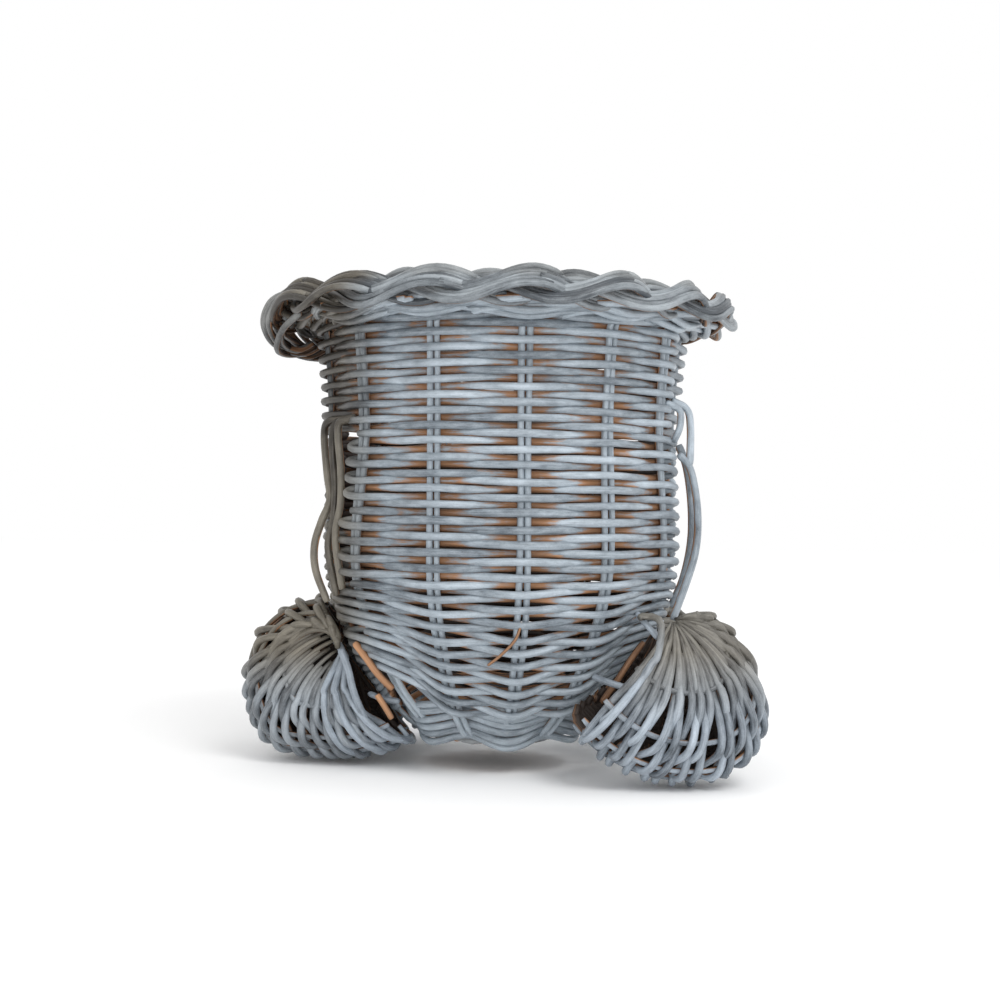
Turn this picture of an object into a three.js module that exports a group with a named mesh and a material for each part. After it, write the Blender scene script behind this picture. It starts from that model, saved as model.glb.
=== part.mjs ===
// Frog-shaped wicker planter, sizes in mm, Z up.
// The photographed back faces -Y and the frog's face +Y. Angles start at -Y and run toward +X.
import * as THREE from "three";

const REED_R = 2.1; // round core of every weaver, stake and border rod
const CLEAR = 0.4; // between pieces that lie against each other

// Upright stakes: pairs of rods on a surface of revolution
const STAKE_COUNT = 13;
const FIRST_STAKE_DEG = 7;
const STAKE_SPACING_DEG = 360 / STAKE_COUNT;
const LEAN_START_Z = 264.5;
const LEAN_DEG = 26; // how far a stake runs round under the border
const LEAN_POWER = 1.3;

// Half section of the wall through the stakes' middle: radius, height
const WALL = [
  [33, 20.5],
  [48, 22.5],
  [61, 33],
  [76, 51],
  [90, 76],
  [100, 99],
  [105.5, 130],
  [104.8, 204],
  [108.8, 258],
  [112.5, 265.5],
  [119, 268.2],
  [134, 269.6],
];

// Weave: each row passes outside one stake and inside the next
const SWING_OUT = 5.8; // of a weaver's middle to the outside of the stakes' middle
const SWING_IN = 4.8;
const SWING_EXTRA = 90; // over the radius: where stakes are close a weaver bends more sharply
const SWING_R = 100; // the radius from which it does
const COLLAR_ROWS = 14;
const COLLAR_PITCH = 4.35;
const COLLAR_LENGTHS = 2; // reeds, spliced behind a stake
const BOTTOM_ROWS = 3;
const BOTTOM_PITCH = 5;
const BOTTOM_START_R = 49.5;
const PANEL_TOP_Z = 197.6;
const COLLAR_START_Z = PANEL_TOP_Z + 2 * REED_R + 2 * CLEAR; // the collar's lowest row lies on the panels
const BACK_ROWS = 36;
const BACK_LENGTHS = 4;
const FRONT_ROWS = 36;
const FRONT_LENGTHS = 5;
const BACK_STAKES = 5; // the rest belong to the front panel
const SPLICE = 0.04; // of a bay, from a stake's middle to the end of a reed behind it
const SAG_TOP_Z = 112; // the back panel's rows hang lower at their middle below this
const SAG = 0.14; // how much closer the hanging rows lie at the panel's edges
const SAG_POWER = 2.2;
const TURN_REACH = 4 * REED_R; // from a pair's middle to the middle of a turn
const TURN_SHIFT = 3; // a weaver that is about to turn bends later
const TURN_SWING = 1.8; // and swings wider

// Base disc
const BASE_R = 43;
const BASE_BOTTOM_Z = 14;
const BASE_TOP_Z = 17.6;
const BASE_RINGS = 3;
const BASE_STEPS = 20;
const BASE_RING_HEIGHT = 0.8;

// Border: three strands of two rods each, plaited flat
const BORDER_R = 131;
const BORDER_HALF_WIDTH = 9;
const BORDER_HALF_HEIGHT = 3.8;
const BORDER_DROOP = 0.6;
const STRANDS = 3;
const BORDER_WAVES = 16; // in and out, over three rounds
const PAIR_SPACING = 2 * REED_R + CLEAR;
const BORDER_STEPS = 8; // points to each wave
const BORDER_LIFT = 2 * REED_R + CLEAR + BORDER_HALF_HEIGHT + BORDER_DROOP; // over the stakes' ends
const BORDER_Z = WALL[WALL.length - 1][1] + BORDER_LIFT;

// Feet: fans gathered at a hinge. Outlines: degrees from outward toward up, reach from the hinge
const HIND_LEFT_OUTLINE = [
  [-134, 82],
  [-104, 76],
  [-74, 74],
  [-49, 67],
  [-32, 59],
  [-11, 49],
  [14, 39],
  [45, 27],
  [98, 21],
  [150, 13],
  [196, 20],
];
const HIND_RIGHT_OUTLINE = [
  [-131, 73],
  [-115, 76],
  [-96, 80],
  [-72, 85],
  [-47, 82],
  [-30, 75],
  [-14, 62],
  [1, 48],
  [20, 32],
  [60, 18],
  [120, 12],
  [196, 18],
];
const FRONT_OUTLINE = [
  [-128, 66],
  [-96, 70],
  [-65, 72],
  [-40, 66],
  [-14, 54],
  [14, 40],
  [60, 22],
  [120, 13],
  [196, 18],
];
const FEET = [
  { name: "hind_foot_left", hinge: [-104, -18, 77], turn: -12, tilt: 8, side: -1, outline: HIND_LEFT_OUTLINE, puff: 56, seat: 7.4 },
  { name: "hind_foot_right", hinge: [94, -60, 80], turn: 12, tilt: 14, side: 1, outline: HIND_RIGHT_OUTLINE, puff: 56, seat: 3.5 },
  { name: "front_foot_left", hinge: [-86, 62, 74], turn: 205, tilt: 12, side: 1, outline: FRONT_OUTLINE, puff: 46, seat: 0.7 },
  { name: "front_foot_right", hinge: [88, 62, 74], turn: 155, tilt: 12, side: -1, outline: FRONT_OUTLINE, puff: 46, seat: 0.2 },
];
const FOOT_RIDGES = 19;
const FOOT_RIDGE_DEPTH = 3.8;
const FOOT_FAN_START_DEG = -134;
const FOOT_FAN_END_DEG = 100;
const FOOT_INNER_STEPS = 5;
const FAN_SEAT = 2.4; // of the fan's corners off the weave, as its flats dip nearer
const FOOT_RINGS = 4; // on each face, between the hinge and the rim
const HINGE_PUFF = 0.35; // share of the puff that is left at the hinge
const PUFF_POWER = 0.7;
const SOLE_CUT = 3; // what the ground takes off a sole's knuckles
const FRAME_ROD_DEG = -122;
const FRAME_ROD_LIFT = 3.8; // of its middle off the skin between the ridges
const FRAME_ROD_START_DEG = 12; // from the hinge's face
const FRAME_ROD_END_DEG = 66;
const FRAME_ROD_STEPS = 6;

// Flank reeds that hang from the collar over the bare gaps between the panels
const FLANK_BAYS = [-2.5, 2.5]; // in stakes from the first: a bundle hangs in the middle of each bay
const FLANK_STEP = 2 * REED_R + CLEAR;
const FLANK_SPREAD = 3;
const FLANK_TOP_DROP = REED_R + 3 * CLEAR; // of a reed's slanted end under the collar's lowest row
const FLANK_BOTTOM_Z = 104;
const FLANK_SINK = 9.5; // of a reed's ends between the panels
const FLANK_BOW = 15;
const FLANK_STEPS = 6;

// Face on the far side
const MUZZLE_BOTTOM_Z = 120;
const MUZZLE_TOP_Z = 212;
const MUZZLE_HALF_DEG = 44;
const MUZZLE_DEPTH = 44;
const MUZZLE_SEAT = 1.6;
const MUZZLE_EDGE = 1.2; // thickness at its rim
const MUZZLE_RINGS = 6;
const MUZZLE_BACK_RINGS = 3;
const MUZZLE_STEPS = 24;
const MUZZLE_RIDGE = 1.4;
const LIP_HALF_DEG = 32;
const LIP_HEIGHT = 0.1; // share of the muzzle's half height, above its middle
const LIP_SMILE = 0.35;
const LIP_LIFT = 1.3; // off the muzzle's skin, which slopes away under the lower lip
const LIP_SPACING = 2 * REED_R + CLEAR;
const LIP_STEPS = 14;
const EYES = [
  { name: "eye_left", aside: 24, sink: 1.2 }, // degrees from the middle, and how deep it sits
  { name: "eye_right", aside: -24, sink: 3.9 },
];
const EYE_TOP_Z = 258; // under the flare that carries the border
const EYE_R = 21;
const EYE_Z = EYE_TOP_Z - EYE_R;
const EYE_HEIGHT = 25;
const EYE_RINGS = 4;
const EYE_STEPS = 10;
const EYE_RING_DEPTH = 1.2;

const PAINT = { colour: 0x87919b, roughness: 0.5 };
const BARE = { colour: 0xa87f5f, roughness: 0.7 };
const FOOT_PAINT = { colour: 0x757b81, roughness: 0.5 };

const radians = THREE.MathUtils.degToRad;
const wallCurve = new THREE.CurvePath();
WALL.slice(1).forEach(([r, z], i) => {
  wallCurve.add(new THREE.LineCurve(new THREE.Vector2(...WALL[i]), new THREE.Vector2(r, z)));
});
const wallLength = wallCurve.getLength();
const SHARE_TOLERANCE = 1e-5;
const WALL_BLEND = 9 / wallLength; // share over which a bend of the wall turns a rod's section

/** Where the stakes' middle surface is at a share of its length, and which way it faces. */
function wallAt(share) {
  const pointAt = (s) => wallCurve.getPoint(THREE.MathUtils.clamp(s, 0, 1));
  const at = pointAt(share);
  const along = pointAt(share + WALL_BLEND).sub(pointAt(share - WALL_BLEND)).normalize();
  return { r: at.x, z: at.y, outR: along.y, outZ: -along.x };
}

/** How far a weaver's middle passes outside the stakes' middle, or inside it. */
function swing(r, isOutside) {
  const extra = Math.max(0, SWING_EXTRA / r - SWING_EXTRA / SWING_R);
  return isOutside ? SWING_OUT + extra : -SWING_IN - extra;
}

/** The share of the wall's length at which a test of its point first fails. */
function wallShare(isBelow) {
  let low = 0;
  let high = 1;
  while (high - low > SHARE_TOLERANCE) {
    const middle = (low + high) / 2;
    if (isBelow(wallCurve.getPoint(middle))) low = middle;
    else high = middle;
  }
  return low;
}

/** A point at an angle, a share of the wall's length and a distance outside it. */
function onWall(degrees, share, out) {
  const wall = wallAt(share);
  const r = wall.r + out * wall.outR;
  return polar(degrees, r, wall.z + out * wall.outZ);
}

function polar(degrees, r, z) {
  return new THREE.Vector3(r * Math.sin(radians(degrees)), -r * Math.cos(radians(degrees)), z);
}

/** The outside of the weave: the smallest radius free of it at each height. */
const ENVELOPE_STEPS = 120;
const ENVELOPE = Array.from({ length: ENVELOPE_STEPS }, (_, i) => {
  const wall = wallAt(i / (ENVELOPE_STEPS - 1));
  const out = swing(wall.r, true) + REED_R;
  return [wall.r + out * wall.outR, wall.z + out * wall.outZ];
}).filter(([, z]) => z < COLLAR_START_Z + COLLAR_ROWS * COLLAR_PITCH);
const BOWL_BOTTOM_Z = Math.min(...ENVELOPE.map(([, z]) => z)) + REED_R;

function freeRadius(z) {
  for (let i = 1; i < ENVELOPE.length; i += 1) {
    const [r0, z0] = ENVELOPE[i - 1];
    const [r1, z1] = ENVELOPE[i];
    if (z1 >= z && z0 <= z) return r0 + ((r1 - r0) * (z - z0)) / (z1 - z0);
  }
  return z < BOWL_BOTTOM_Z ? BOTTOM_START_R + SWING_OUT : ENVELOPE[ENVELOPE.length - 1][0];
}

/** Moves a point off the weave and up to the ground. */
function clearOfBody(point, gap) {
  const r = Math.hypot(point.x, point.y);
  const least = freeRadius(point.z) + gap;
  if (r < least) {
    point.x *= least / r;
    point.y *= least / r;
  }
  point.z = Math.max(point.z, 0);
  return point;
}

/** A closed body from points and triangles, turned so that its faces look outward. */
function body(points, triangles) {
  let volume = 0;
  for (const [a, b, c] of triangles) {
    volume += points[a].dot(new THREE.Vector3().crossVectors(points[b], points[c]));
  }
  const index = triangles.flatMap(([a, b, c]) => (volume > 0 ? [a, b, c] : [a, c, b]));
  const geometry = new THREE.BufferGeometry();
  geometry.setAttribute("position", new THREE.Float32BufferAttribute(points.flatMap((p) => p.toArray()), 3));
  geometry.setIndex(index);
  geometry.computeVertexNormals();
  return geometry;
}

/** Triangles that join rings of equal size, closed round each ring. */
function joinRings(ringCount, size, loop) {
  const triangles = [];
  const last = loop ? ringCount : ringCount - 1;
  for (let i = 0; i < last; i += 1) {
    const next = (i + 1) % ringCount;
    for (let j = 0; j < size; j += 1) {
      const k = (j + 1) % size;
      triangles.push([i * size + j, i * size + k, next * size + k]);
      triangles.push([i * size + j, next * size + k, next * size + j]);
    }
  }
  return triangles;
}

/** The same, with a last point but one before the first ring and a last point after the last. */
function closeRings(ringCount, size) {
  const triangles = joinRings(ringCount, size, false);
  const [first, last] = [ringCount * size, ringCount * size + 1];
  for (let j = 0; j < size; j += 1) {
    const k = (j + 1) % size;
    triangles.push([first, k, j]);
    triangles.push([last, (ringCount - 1) * size + j, (ringCount - 1) * size + k]);
  }
  return triangles;
}

const DIAMOND = [
  [REED_R, 0],
  [0, REED_R],
  [-REED_R, 0],
  [0, -REED_R],
];

/** A rod of a given section along points. facing(i) is the way its section's second axis looks. */
function rod(path, facing, { section = DIAMOND, loop = false } = {}) {
  const count = path.length;
  const points = [];
  path.forEach((at, i) => {
    const before = path[loop ? (i + count - 1) % count : Math.max(i - 1, 0)];
    const after = path[loop ? (i + 1) % count : Math.min(i + 1, count - 1)];
    const along = after.clone().sub(before).normalize();
    const side = new THREE.Vector3().crossVectors(along, facing(i)).normalize();
    const up = new THREE.Vector3().crossVectors(side, along);
    for (const [a, b] of section) {
      points.push(at.clone().addScaledVector(side, a).addScaledVector(up, b));
    }
  });
  const triangles = joinRings(count, section.length, loop);
  if (!loop) {
    for (let j = 1; j < section.length - 1; j += 1) {
      const end = (count - 1) * section.length;
      triangles.push([0, j + 1, j]);
      triangles.push([end, end + j, end + j + 1]);
    }
  }
  return body(points, triangles);
}

const outwardFrom = (path) => (i) => new THREE.Vector3(path[i].x, path[i].y, 0).normalize();

// Two rods side by side, cut across
const PAIR = [
  [2 * REED_R, 0],
  [REED_R, REED_R],
  [-REED_R, REED_R],
  [-2 * REED_R, 0],
  [-REED_R, -REED_R],
  [REED_R, -REED_R],
];

function stake(index) {
  const middle = FIRST_STAKE_DEG + index * STAKE_SPACING_DEG;
  const leanStart = wallShare((p) => p.y < LEAN_START_Z);
  const shares = wallCurve.getCurveLengths().map((length) => length / wallLength);
  shares.unshift(0);
  const path = shares.map((share) => {
    const lean = Math.max(0, (share - leanStart) / (1 - leanStart));
    return onWall(middle + LEAN_DEG * lean ** LEAN_POWER, share, 0);
  });
  const facing = (i) => {
    const wall = wallAt(shares[i]);
    const out = outwardFrom(path)(i).multiplyScalar(wall.outR);
    return out.setZ(wall.outZ);
  };
  return rod(path, facing, { section: PAIR });
}

/** Facing of a rod that lies on the wall, point by point. */
function wallFacing(places) {
  return (i) => {
    const wall = wallAt(places[i].share);
    const angle = radians(places[i].degrees);
    return new THREE.Vector3(wall.outR * Math.sin(angle), -wall.outR * Math.cos(angle), wall.outZ);
  };
}

const pathOf = (places) => places.map((p) => onWall(p.degrees, p.share, p.out));

/** The first row of each length of reed that so many rows take, and the row after the last. */
function lengthsOf(rows, lengths) {
  return Array.from({ length: lengths + 1 }, (_, i) => Math.round((rows * i) / lengths));
}

/** The stake that a reed wound from step 0 lies inside nearest the end of a row. */
const spliceStep = (row) => 2 * Math.floor((row * STAKE_COUNT) / 2);

/** One reed wound round and round, over one stake and under the next. */
function windingWeave(firstRow, lastRow, startShare, pitch) {
  const [first, last] = [spliceStep(firstRow), spliceStep(lastRow)];
  const steps = Array.from({ length: last - first + 1 }, (_, i) => first + i);
  steps[0] += SPLICE;
  steps[steps.length - 1] -= SPLICE;
  const places = steps.map((step) => {
    const share = startShare + ((step / STAKE_COUNT) * pitch) / wallLength;
    const isOutside = Math.round(step) % 2 === 1;
    const degrees = FIRST_STAKE_DEG + step * STAKE_SPACING_DEG;
    return { degrees, share, out: swing(wallAt(share).r, isOutside) };
  });
  return rod(pathOf(places), wallFacing(places));
}

/** Where a panel's row crosses a stake, as a share of the wall. across is -1 and 1 at the edges. */
function rowShare(panel, row, across) {
  const share = panel.start + ((panel.end - panel.start) * row) / (panel.rows - 1);
  const hang = Math.min(0, share - panel.sagStart);
  return share - panel.sag * hang * Math.abs(across) ** SAG_POWER;
}

/** One reed that goes to and fro over part of the stakes, turned back round the end ones. */
function panelWeave(panel, firstRow, lastRow) {
  const places = [];
  const end = panel.stakes - 1;
  for (let row = firstRow; row < lastRow; row += 1) {
    for (let i = 0; i <= end; i += 1) {
      const step = row % 2 ? end - i : i;
      const side = Number(step === end) - Number(step === 0);
      const share = rowShare(panel, row, (2 * step) / end - 1);
      const { r } = wallAt(share);
      const isOutside = (row + step) % 2 === 1;
      const shift = THREE.MathUtils.radToDeg(TURN_SHIFT / r);
      places.push({
        degrees: FIRST_STAKE_DEG + (panel.firstStake + step) * STAKE_SPACING_DEG + side * shift,
        share,
        out: swing(r, isOutside) + (isOutside ? 1 : -1) * Math.abs(side) * TURN_SWING,
      });
    }
    if (row < lastRow - 1) {
      const side = row % 2 ? -1 : 1;
      const share = (rowShare(panel, row, side) + rowShare(panel, row + 1, side)) / 2;
      const reach = THREE.MathUtils.radToDeg((TURN_REACH - TURN_SHIFT) / wallAt(share).r);
      places.push({ degrees: places[places.length - 1].degrees + side * reach, share, out: 0 });
    }
  }
  return rod(pathOf(places), wallFacing(places));
}

function latheBody(profile, steps) {
  const geometry = new THREE.LatheGeometry(profile.map(([r, z]) => new THREE.Vector2(r, z)), steps);
  geometry.rotateX(Math.PI / 2);
  return geometry;
}

function baseDisc() {
  const profile = [[0, BASE_BOTTOM_Z], [BASE_R - 1, BASE_BOTTOM_Z], [BASE_R, BASE_BOTTOM_Z + 1.5]];
  const ring = (BASE_R - 1) / BASE_RINGS;
  for (let i = BASE_RINGS; i > 0; i -= 1) {
    profile.push([ring * i, BASE_TOP_Z - BASE_RING_HEIGHT]);
    profile.push([ring * (i - 0.5), BASE_TOP_Z]);
  }
  profile.push([0, BASE_TOP_Z - BASE_RING_HEIGHT]);
  return latheBody(profile, BASE_STEPS);
}

/** One of the border's two rods: three rounds that plait with themselves and the other rod. */
function borderRod(offset) {
  const path = [];
  for (let i = 0; i < BORDER_WAVES * BORDER_STEPS; i += 1) {
    const wave = (i / BORDER_STEPS) * 2 * Math.PI;
    const turn = (wave * STRANDS) / BORDER_WAVES;
    const swing = BORDER_HALF_WIDTH * Math.sin(wave);
    const rise = BORDER_HALF_HEIGHT * Math.sin(2 * wave);
    const droop = BORDER_DROOP * Math.cos(2 * turn);
    path.push(
      polar(THREE.MathUtils.radToDeg(turn), BORDER_R + swing + offset, BORDER_Z + rise + droop),
    );
  }
  return rod(path, () => new THREE.Vector3(0, 0, 1), { loop: true });
}

/** Reach of a foot's outline at an angle, by a smooth closed line through its points. */
function outlineReach(outline, degrees) {
  const count = outline.length;
  for (let i = 0; i < count; i += 1) {
    const [a0, r0] = outline[i];
    const [a1, r1] = outline[(i + 1) % count];
    const span = ((a1 - a0) % 360 + 360) % 360;
    const into = ((degrees - a0) % 360 + 360) % 360;
    if (into <= span) {
      const share = into / span;
      return r0 + (r1 - r0) * share * share * (3 - 2 * share);
    }
  }
  return outline[0][1];
}

/** A foot's own axes: the way its face looks, its outward side and its upward side. */
function footAxes({ turn, tilt, side }) {
  const level = new THREE.Vector3(Math.sin(radians(turn)), -Math.cos(radians(turn)), 0);
  const up = new THREE.Vector3(0, 0, 1);
  const outward = new THREE.Vector3(Math.cos(radians(turn)), Math.sin(radians(turn)), 0);
  return {
    face: level.clone().multiplyScalar(Math.cos(radians(tilt))).addScaledVector(up, Math.sin(radians(tilt))),
    outward: outward.multiplyScalar(side),
    upward: up.clone().multiplyScalar(Math.cos(radians(tilt))).addScaledVector(level, -Math.sin(radians(tilt))),
  };
}

/** A point of a foot's puffed skin: angle round the hinge, 0 to 180 from its face to its back. */
function footPoint(foot, axes, degrees, latitude, lift) {
  const t = radians(latitude);
  const reach = outlineReach(foot.outline, degrees);
  const thick = foot.puff * Math.cos(t) * (HINGE_PUFF + (1 - HINGE_PUFF) * Math.sin(t) ** PUFF_POWER);
  const way = axes.outward
    .clone()
    .multiplyScalar(Math.cos(radians(degrees)))
    .addScaledVector(axes.upward, Math.sin(radians(degrees)));
  const ridge = way.clone().multiplyScalar(Math.sin(t)).addScaledVector(axes.face, Math.cos(t));
  return new THREE.Vector3(...foot.hinge)
    .addScaledVector(way, reach * Math.sin(t))
    .addScaledVector(axes.face, thick)
    .addScaledVector(ridge, lift);
}

/** The columns of a foot's skin: ridges over the fan, then plain columns along its inner edge. */
function footColumns(innerSeat) {
  const columns = [];
  const fan = FOOT_FAN_END_DEG - FOOT_FAN_START_DEG;
  for (let i = 0; i <= 2 * FOOT_RIDGES; i += 1) {
    const degrees = FOOT_FAN_START_DEG + (fan * i) / (2 * FOOT_RIDGES);
    const seat = i === 0 ? innerSeat : FAN_SEAT;
    columns.push({ degrees, seat, lift: i % 2 ? FOOT_RIDGE_DEPTH : 0 });
  }
  for (let i = 1; i < FOOT_INNER_STEPS; i += 1) {
    const degrees = FOOT_FAN_END_DEG + ((360 - fan) * i) / FOOT_INNER_STEPS;
    columns.push({ degrees, seat: innerSeat, lift: 0 });
  }
  return columns;
}

/** A foot's skin, and how far it was moved to stand on the ground. */
function footSkin(foot) {
  const axes = footAxes(foot);
  const columns = footColumns(foot.seat);
  const rings = 2 * FOOT_RINGS - 1;
  const places = [];
  for (let i = 1; i <= rings; i += 1) {
    const latitude = (180 * i) / (rings + 1);
    for (const { degrees, seat, lift } of columns) {
      const at = footPoint(foot, axes, degrees, latitude, lift * Math.sin(radians(latitude)));
      places.push({ at, seat });
    }
  }
  places.push({ at: footPoint(foot, axes, 0, 0, 0), seat: FAN_SEAT });
  places.push({ at: footPoint(foot, axes, 0, 180, 0), seat: FAN_SEAT });
  const drop = Math.min(...places.map(({ at }) => at.z)) + SOLE_CUT;
  const points = places.map(({ at, seat }) => {
    at.z -= drop;
    return clearOfBody(at, seat);
  });
  return { geometry: body(points, closeRings(rings, columns.length)), drop };
}

/** The bare rod that shows along the inner edge of a foot, from its hinge to its sole. */
function footRod(foot, drop) {
  const axes = footAxes(foot);
  const path = [];
  for (let i = 0; i <= FRAME_ROD_STEPS; i += 1) {
    const latitude = THREE.MathUtils.lerp(FRAME_ROD_START_DEG, FRAME_ROD_END_DEG, i / FRAME_ROD_STEPS);
    const point = footPoint(foot, axes, FRAME_ROD_DEG, latitude, FRAME_ROD_LIFT);
    point.z -= drop;
    path.push(clearOfBody(point, REED_R + CLEAR));
  }
  return rod(path, () => axes.face);
}

function flankReed(bay, step) {
  const path = [];
  const wound = ((bay + STAKE_COUNT) % STAKE_COUNT) / STAKE_COUNT;
  const topZ = COLLAR_START_Z + wound * COLLAR_PITCH - FLANK_TOP_DROP;
  for (let i = 0; i <= FLANK_STEPS; i += 1) {
    const share = i / FLANK_STEPS;
    const z = FLANK_BOTTOM_Z + (topZ - FLANK_BOTTOM_Z) * share;
    const r = freeRadius(z) - FLANK_SINK + FLANK_BOW * Math.sin(Math.PI * share);
    const aside = step * (FLANK_STEP + FLANK_SPREAD * Math.sin(Math.PI * share));
    const degrees = FIRST_STAKE_DEG + bay * STAKE_SPACING_DEG;
    path.push(polar(degrees + THREE.MathUtils.radToDeg(aside / r), r, z));
  }
  return rod(path, outwardFrom(path));
}

/** A point of the muzzle's skin, at shares of its half width and half height. depth 0 is on the weave. */
function muzzlePoint(across, up, depth, lift) {
  const puff = Math.sqrt(Math.max(0, 1 - across * across - up * up));
  const z = THREE.MathUtils.lerp(MUZZLE_BOTTOM_Z, MUZZLE_TOP_Z, (up + 1) / 2);
  const out = MUZZLE_SEAT + depth * (MUZZLE_DEPTH * puff + lift);
  return polar(180 + across * MUZZLE_HALF_DEG, freeRadius(z) + out, z);
}

function muzzle() {
  const points = [];
  const place = (latitude, longitude, depth, lift) => {
    const reach = Math.sin(radians(latitude));
    const across = reach * Math.cos(radians(longitude));
    points.push(muzzlePoint(across, reach * Math.sin(radians(longitude)), depth, lift));
  };
  for (let i = 1; i <= MUZZLE_RINGS; i += 1) {
    for (let j = 0; j < MUZZLE_STEPS; j += 1) {
      const ridge = j % 2 ? MUZZLE_RIDGE : 0;
      place((90 * i) / MUZZLE_RINGS, (360 * j) / MUZZLE_STEPS, 1, MUZZLE_EDGE + ridge);
    }
  }
  for (let i = MUZZLE_BACK_RINGS; i > 0; i -= 1) {
    for (let j = 0; j < MUZZLE_STEPS; j += 1) {
      place((90 * i) / MUZZLE_BACK_RINGS, (360 * j) / MUZZLE_STEPS, 0, 0);
    }
  }
  place(0, 0, 1, MUZZLE_EDGE);
  place(0, 0, 0, 0);
  const rings = MUZZLE_RINGS + MUZZLE_BACK_RINGS;
  return body(points, closeRings(rings, MUZZLE_STEPS));
}

function lip(row) {
  const path = [];
  for (let i = 0; i <= LIP_STEPS; i += 1) {
    const across = ((2 * i) / LIP_STEPS - 1) * (LIP_HALF_DEG / MUZZLE_HALF_DEG);
    const up = LIP_HEIGHT + LIP_SMILE * across * across;
    const point = muzzlePoint(across, up, 1, MUZZLE_EDGE + MUZZLE_RIDGE + REED_R + LIP_LIFT);
    point.z += row * LIP_SPACING;
    path.push(point);
  }
  return rod(path, outwardFrom(path));
}

function eye({ aside, sink }) {
  const profile = [[0, 0], [EYE_R, 0]];
  const steps = 2 * EYE_RINGS;
  for (let i = 1; i < steps; i += 1) {
    const t = (Math.PI / 2) * (i / steps);
    const ring = i % 2 ? EYE_RING_DEPTH : 0;
    profile.push([(EYE_R + ring) * Math.cos(t), (EYE_HEIGHT + ring) * Math.sin(t)]);
  }
  profile.push([0, EYE_HEIGHT]);
  const geometry = latheBody(profile, EYE_STEPS);
  geometry.rotateX(Math.PI / 2);
  geometry.rotateZ(radians(180 + aside));
  const at = polar(180 + aside, freeRadius(EYE_TOP_Z) - sink, EYE_Z);
  geometry.translate(at.x, at.y, at.z);
  return geometry;
}

function material({ colour, roughness }) {
  return new THREE.MeshStandardMaterial({ color: colour, roughness, metalness: 0 });
}

function build() {
  const frog = new THREE.Group();
  frog.name = "frog_planter";
  const add = (name, geometry, finish) => {
    const mesh = new THREE.Mesh(geometry, material(finish));
    mesh.name = name;
    frog.add(mesh);
  };
  const bottom = wallShare((p) => p.x < BOTTOM_START_R);
  const collar = wallShare((p) => p.y < COLLAR_START_Z);
  const panelTop = wallShare((p) => p.y < PANEL_TOP_Z);
  const panelBottom = bottom + ((BOTTOM_ROWS + 1) * BOTTOM_PITCH) / wallLength;
  const backFirst = -(BACK_STAKES - 1) / 2;

  add("base", baseDisc(), BARE);
  for (let i = 0; i < STAKE_COUNT; i += 1) {
    add(`stake_pair_${String(i + 1).padStart(2, "0")}`, stake(i), PAINT);
  }
  const addLengths = (name, rows, lengths, weave) => {
    const ends = lengthsOf(rows, lengths);
    for (let i = 0; i < lengths; i += 1) add(`${name}_${i + 1}`, weave(ends[i], ends[i + 1]), PAINT);
  };
  add("bottom_weave", windingWeave(0, BOTTOM_ROWS, bottom, BOTTOM_PITCH), PAINT);
  const back = {
    firstStake: backFirst,
    stakes: BACK_STAKES,
    rows: BACK_ROWS,
    start: panelBottom,
    end: panelTop,
    sagStart: wallShare((p) => p.y < SAG_TOP_Z),
    sag: SAG,
  };
  const front = {
    ...back,
    firstStake: backFirst + BACK_STAKES,
    stakes: STAKE_COUNT - BACK_STAKES,
    rows: FRONT_ROWS,
    sag: 0,
  };
  addLengths("back_panel_reed", BACK_ROWS, BACK_LENGTHS, (from, to) => panelWeave(back, from, to));
  addLengths("front_panel_reed", FRONT_ROWS, FRONT_LENGTHS, (from, to) => panelWeave(front, from, to));
  addLengths("collar_reed", COLLAR_ROWS, COLLAR_LENGTHS, (from, to) =>
    windingWeave(from, to, collar, COLLAR_PITCH),
  );
  add("border_rod_outer", borderRod(PAIR_SPACING / 2), PAINT);
  add("border_rod_inner", borderRod(-PAIR_SPACING / 2), PAINT);
  FLANK_BAYS.forEach((bay, i) => {
    [-1, 0, 1].forEach((step, j) => {
      add(`flank_reed_${["left", "right"][i]}_${j + 1}`, flankReed(bay, step), PAINT);
    });
  });
  for (const foot of FEET) {
    const { geometry, drop } = footSkin(foot);
    add(foot.name, geometry, FOOT_PAINT);
    add(`${foot.name}_rod`, footRod(foot, drop), BARE);
  }
  add("muzzle", muzzle(), PAINT);
  add("lip_upper", lip(0.5), PAINT);
  add("lip_lower", lip(-0.5), PAINT);
  for (const one of EYES) add(one.name, eye(one), PAINT);
  const box = new THREE.Box3().setFromObject(frog);
  const middle = box.getCenter(new THREE.Vector3());
  frog.position.set(-middle.x, -middle.y, -box.min.z);
  return frog;
}

export default build();
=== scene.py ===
import logging
import math
from dataclasses import dataclass
from enum import Enum

import bpy
import numpy as np
from mathutils import Matrix


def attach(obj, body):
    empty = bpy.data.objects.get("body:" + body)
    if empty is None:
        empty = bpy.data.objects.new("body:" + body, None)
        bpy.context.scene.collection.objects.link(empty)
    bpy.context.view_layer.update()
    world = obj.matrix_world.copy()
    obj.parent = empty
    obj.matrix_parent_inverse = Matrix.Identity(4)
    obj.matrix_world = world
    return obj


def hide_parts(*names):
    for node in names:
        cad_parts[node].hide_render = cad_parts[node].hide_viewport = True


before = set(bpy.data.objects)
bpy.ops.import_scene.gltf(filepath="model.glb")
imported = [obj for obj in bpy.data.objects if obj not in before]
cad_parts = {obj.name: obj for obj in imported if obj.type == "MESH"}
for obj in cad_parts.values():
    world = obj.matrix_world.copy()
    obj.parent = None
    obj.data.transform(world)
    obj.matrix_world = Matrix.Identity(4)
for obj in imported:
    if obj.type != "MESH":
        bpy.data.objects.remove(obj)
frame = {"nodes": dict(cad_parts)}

LOG = logging.getLogger("frog_planter")
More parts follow.
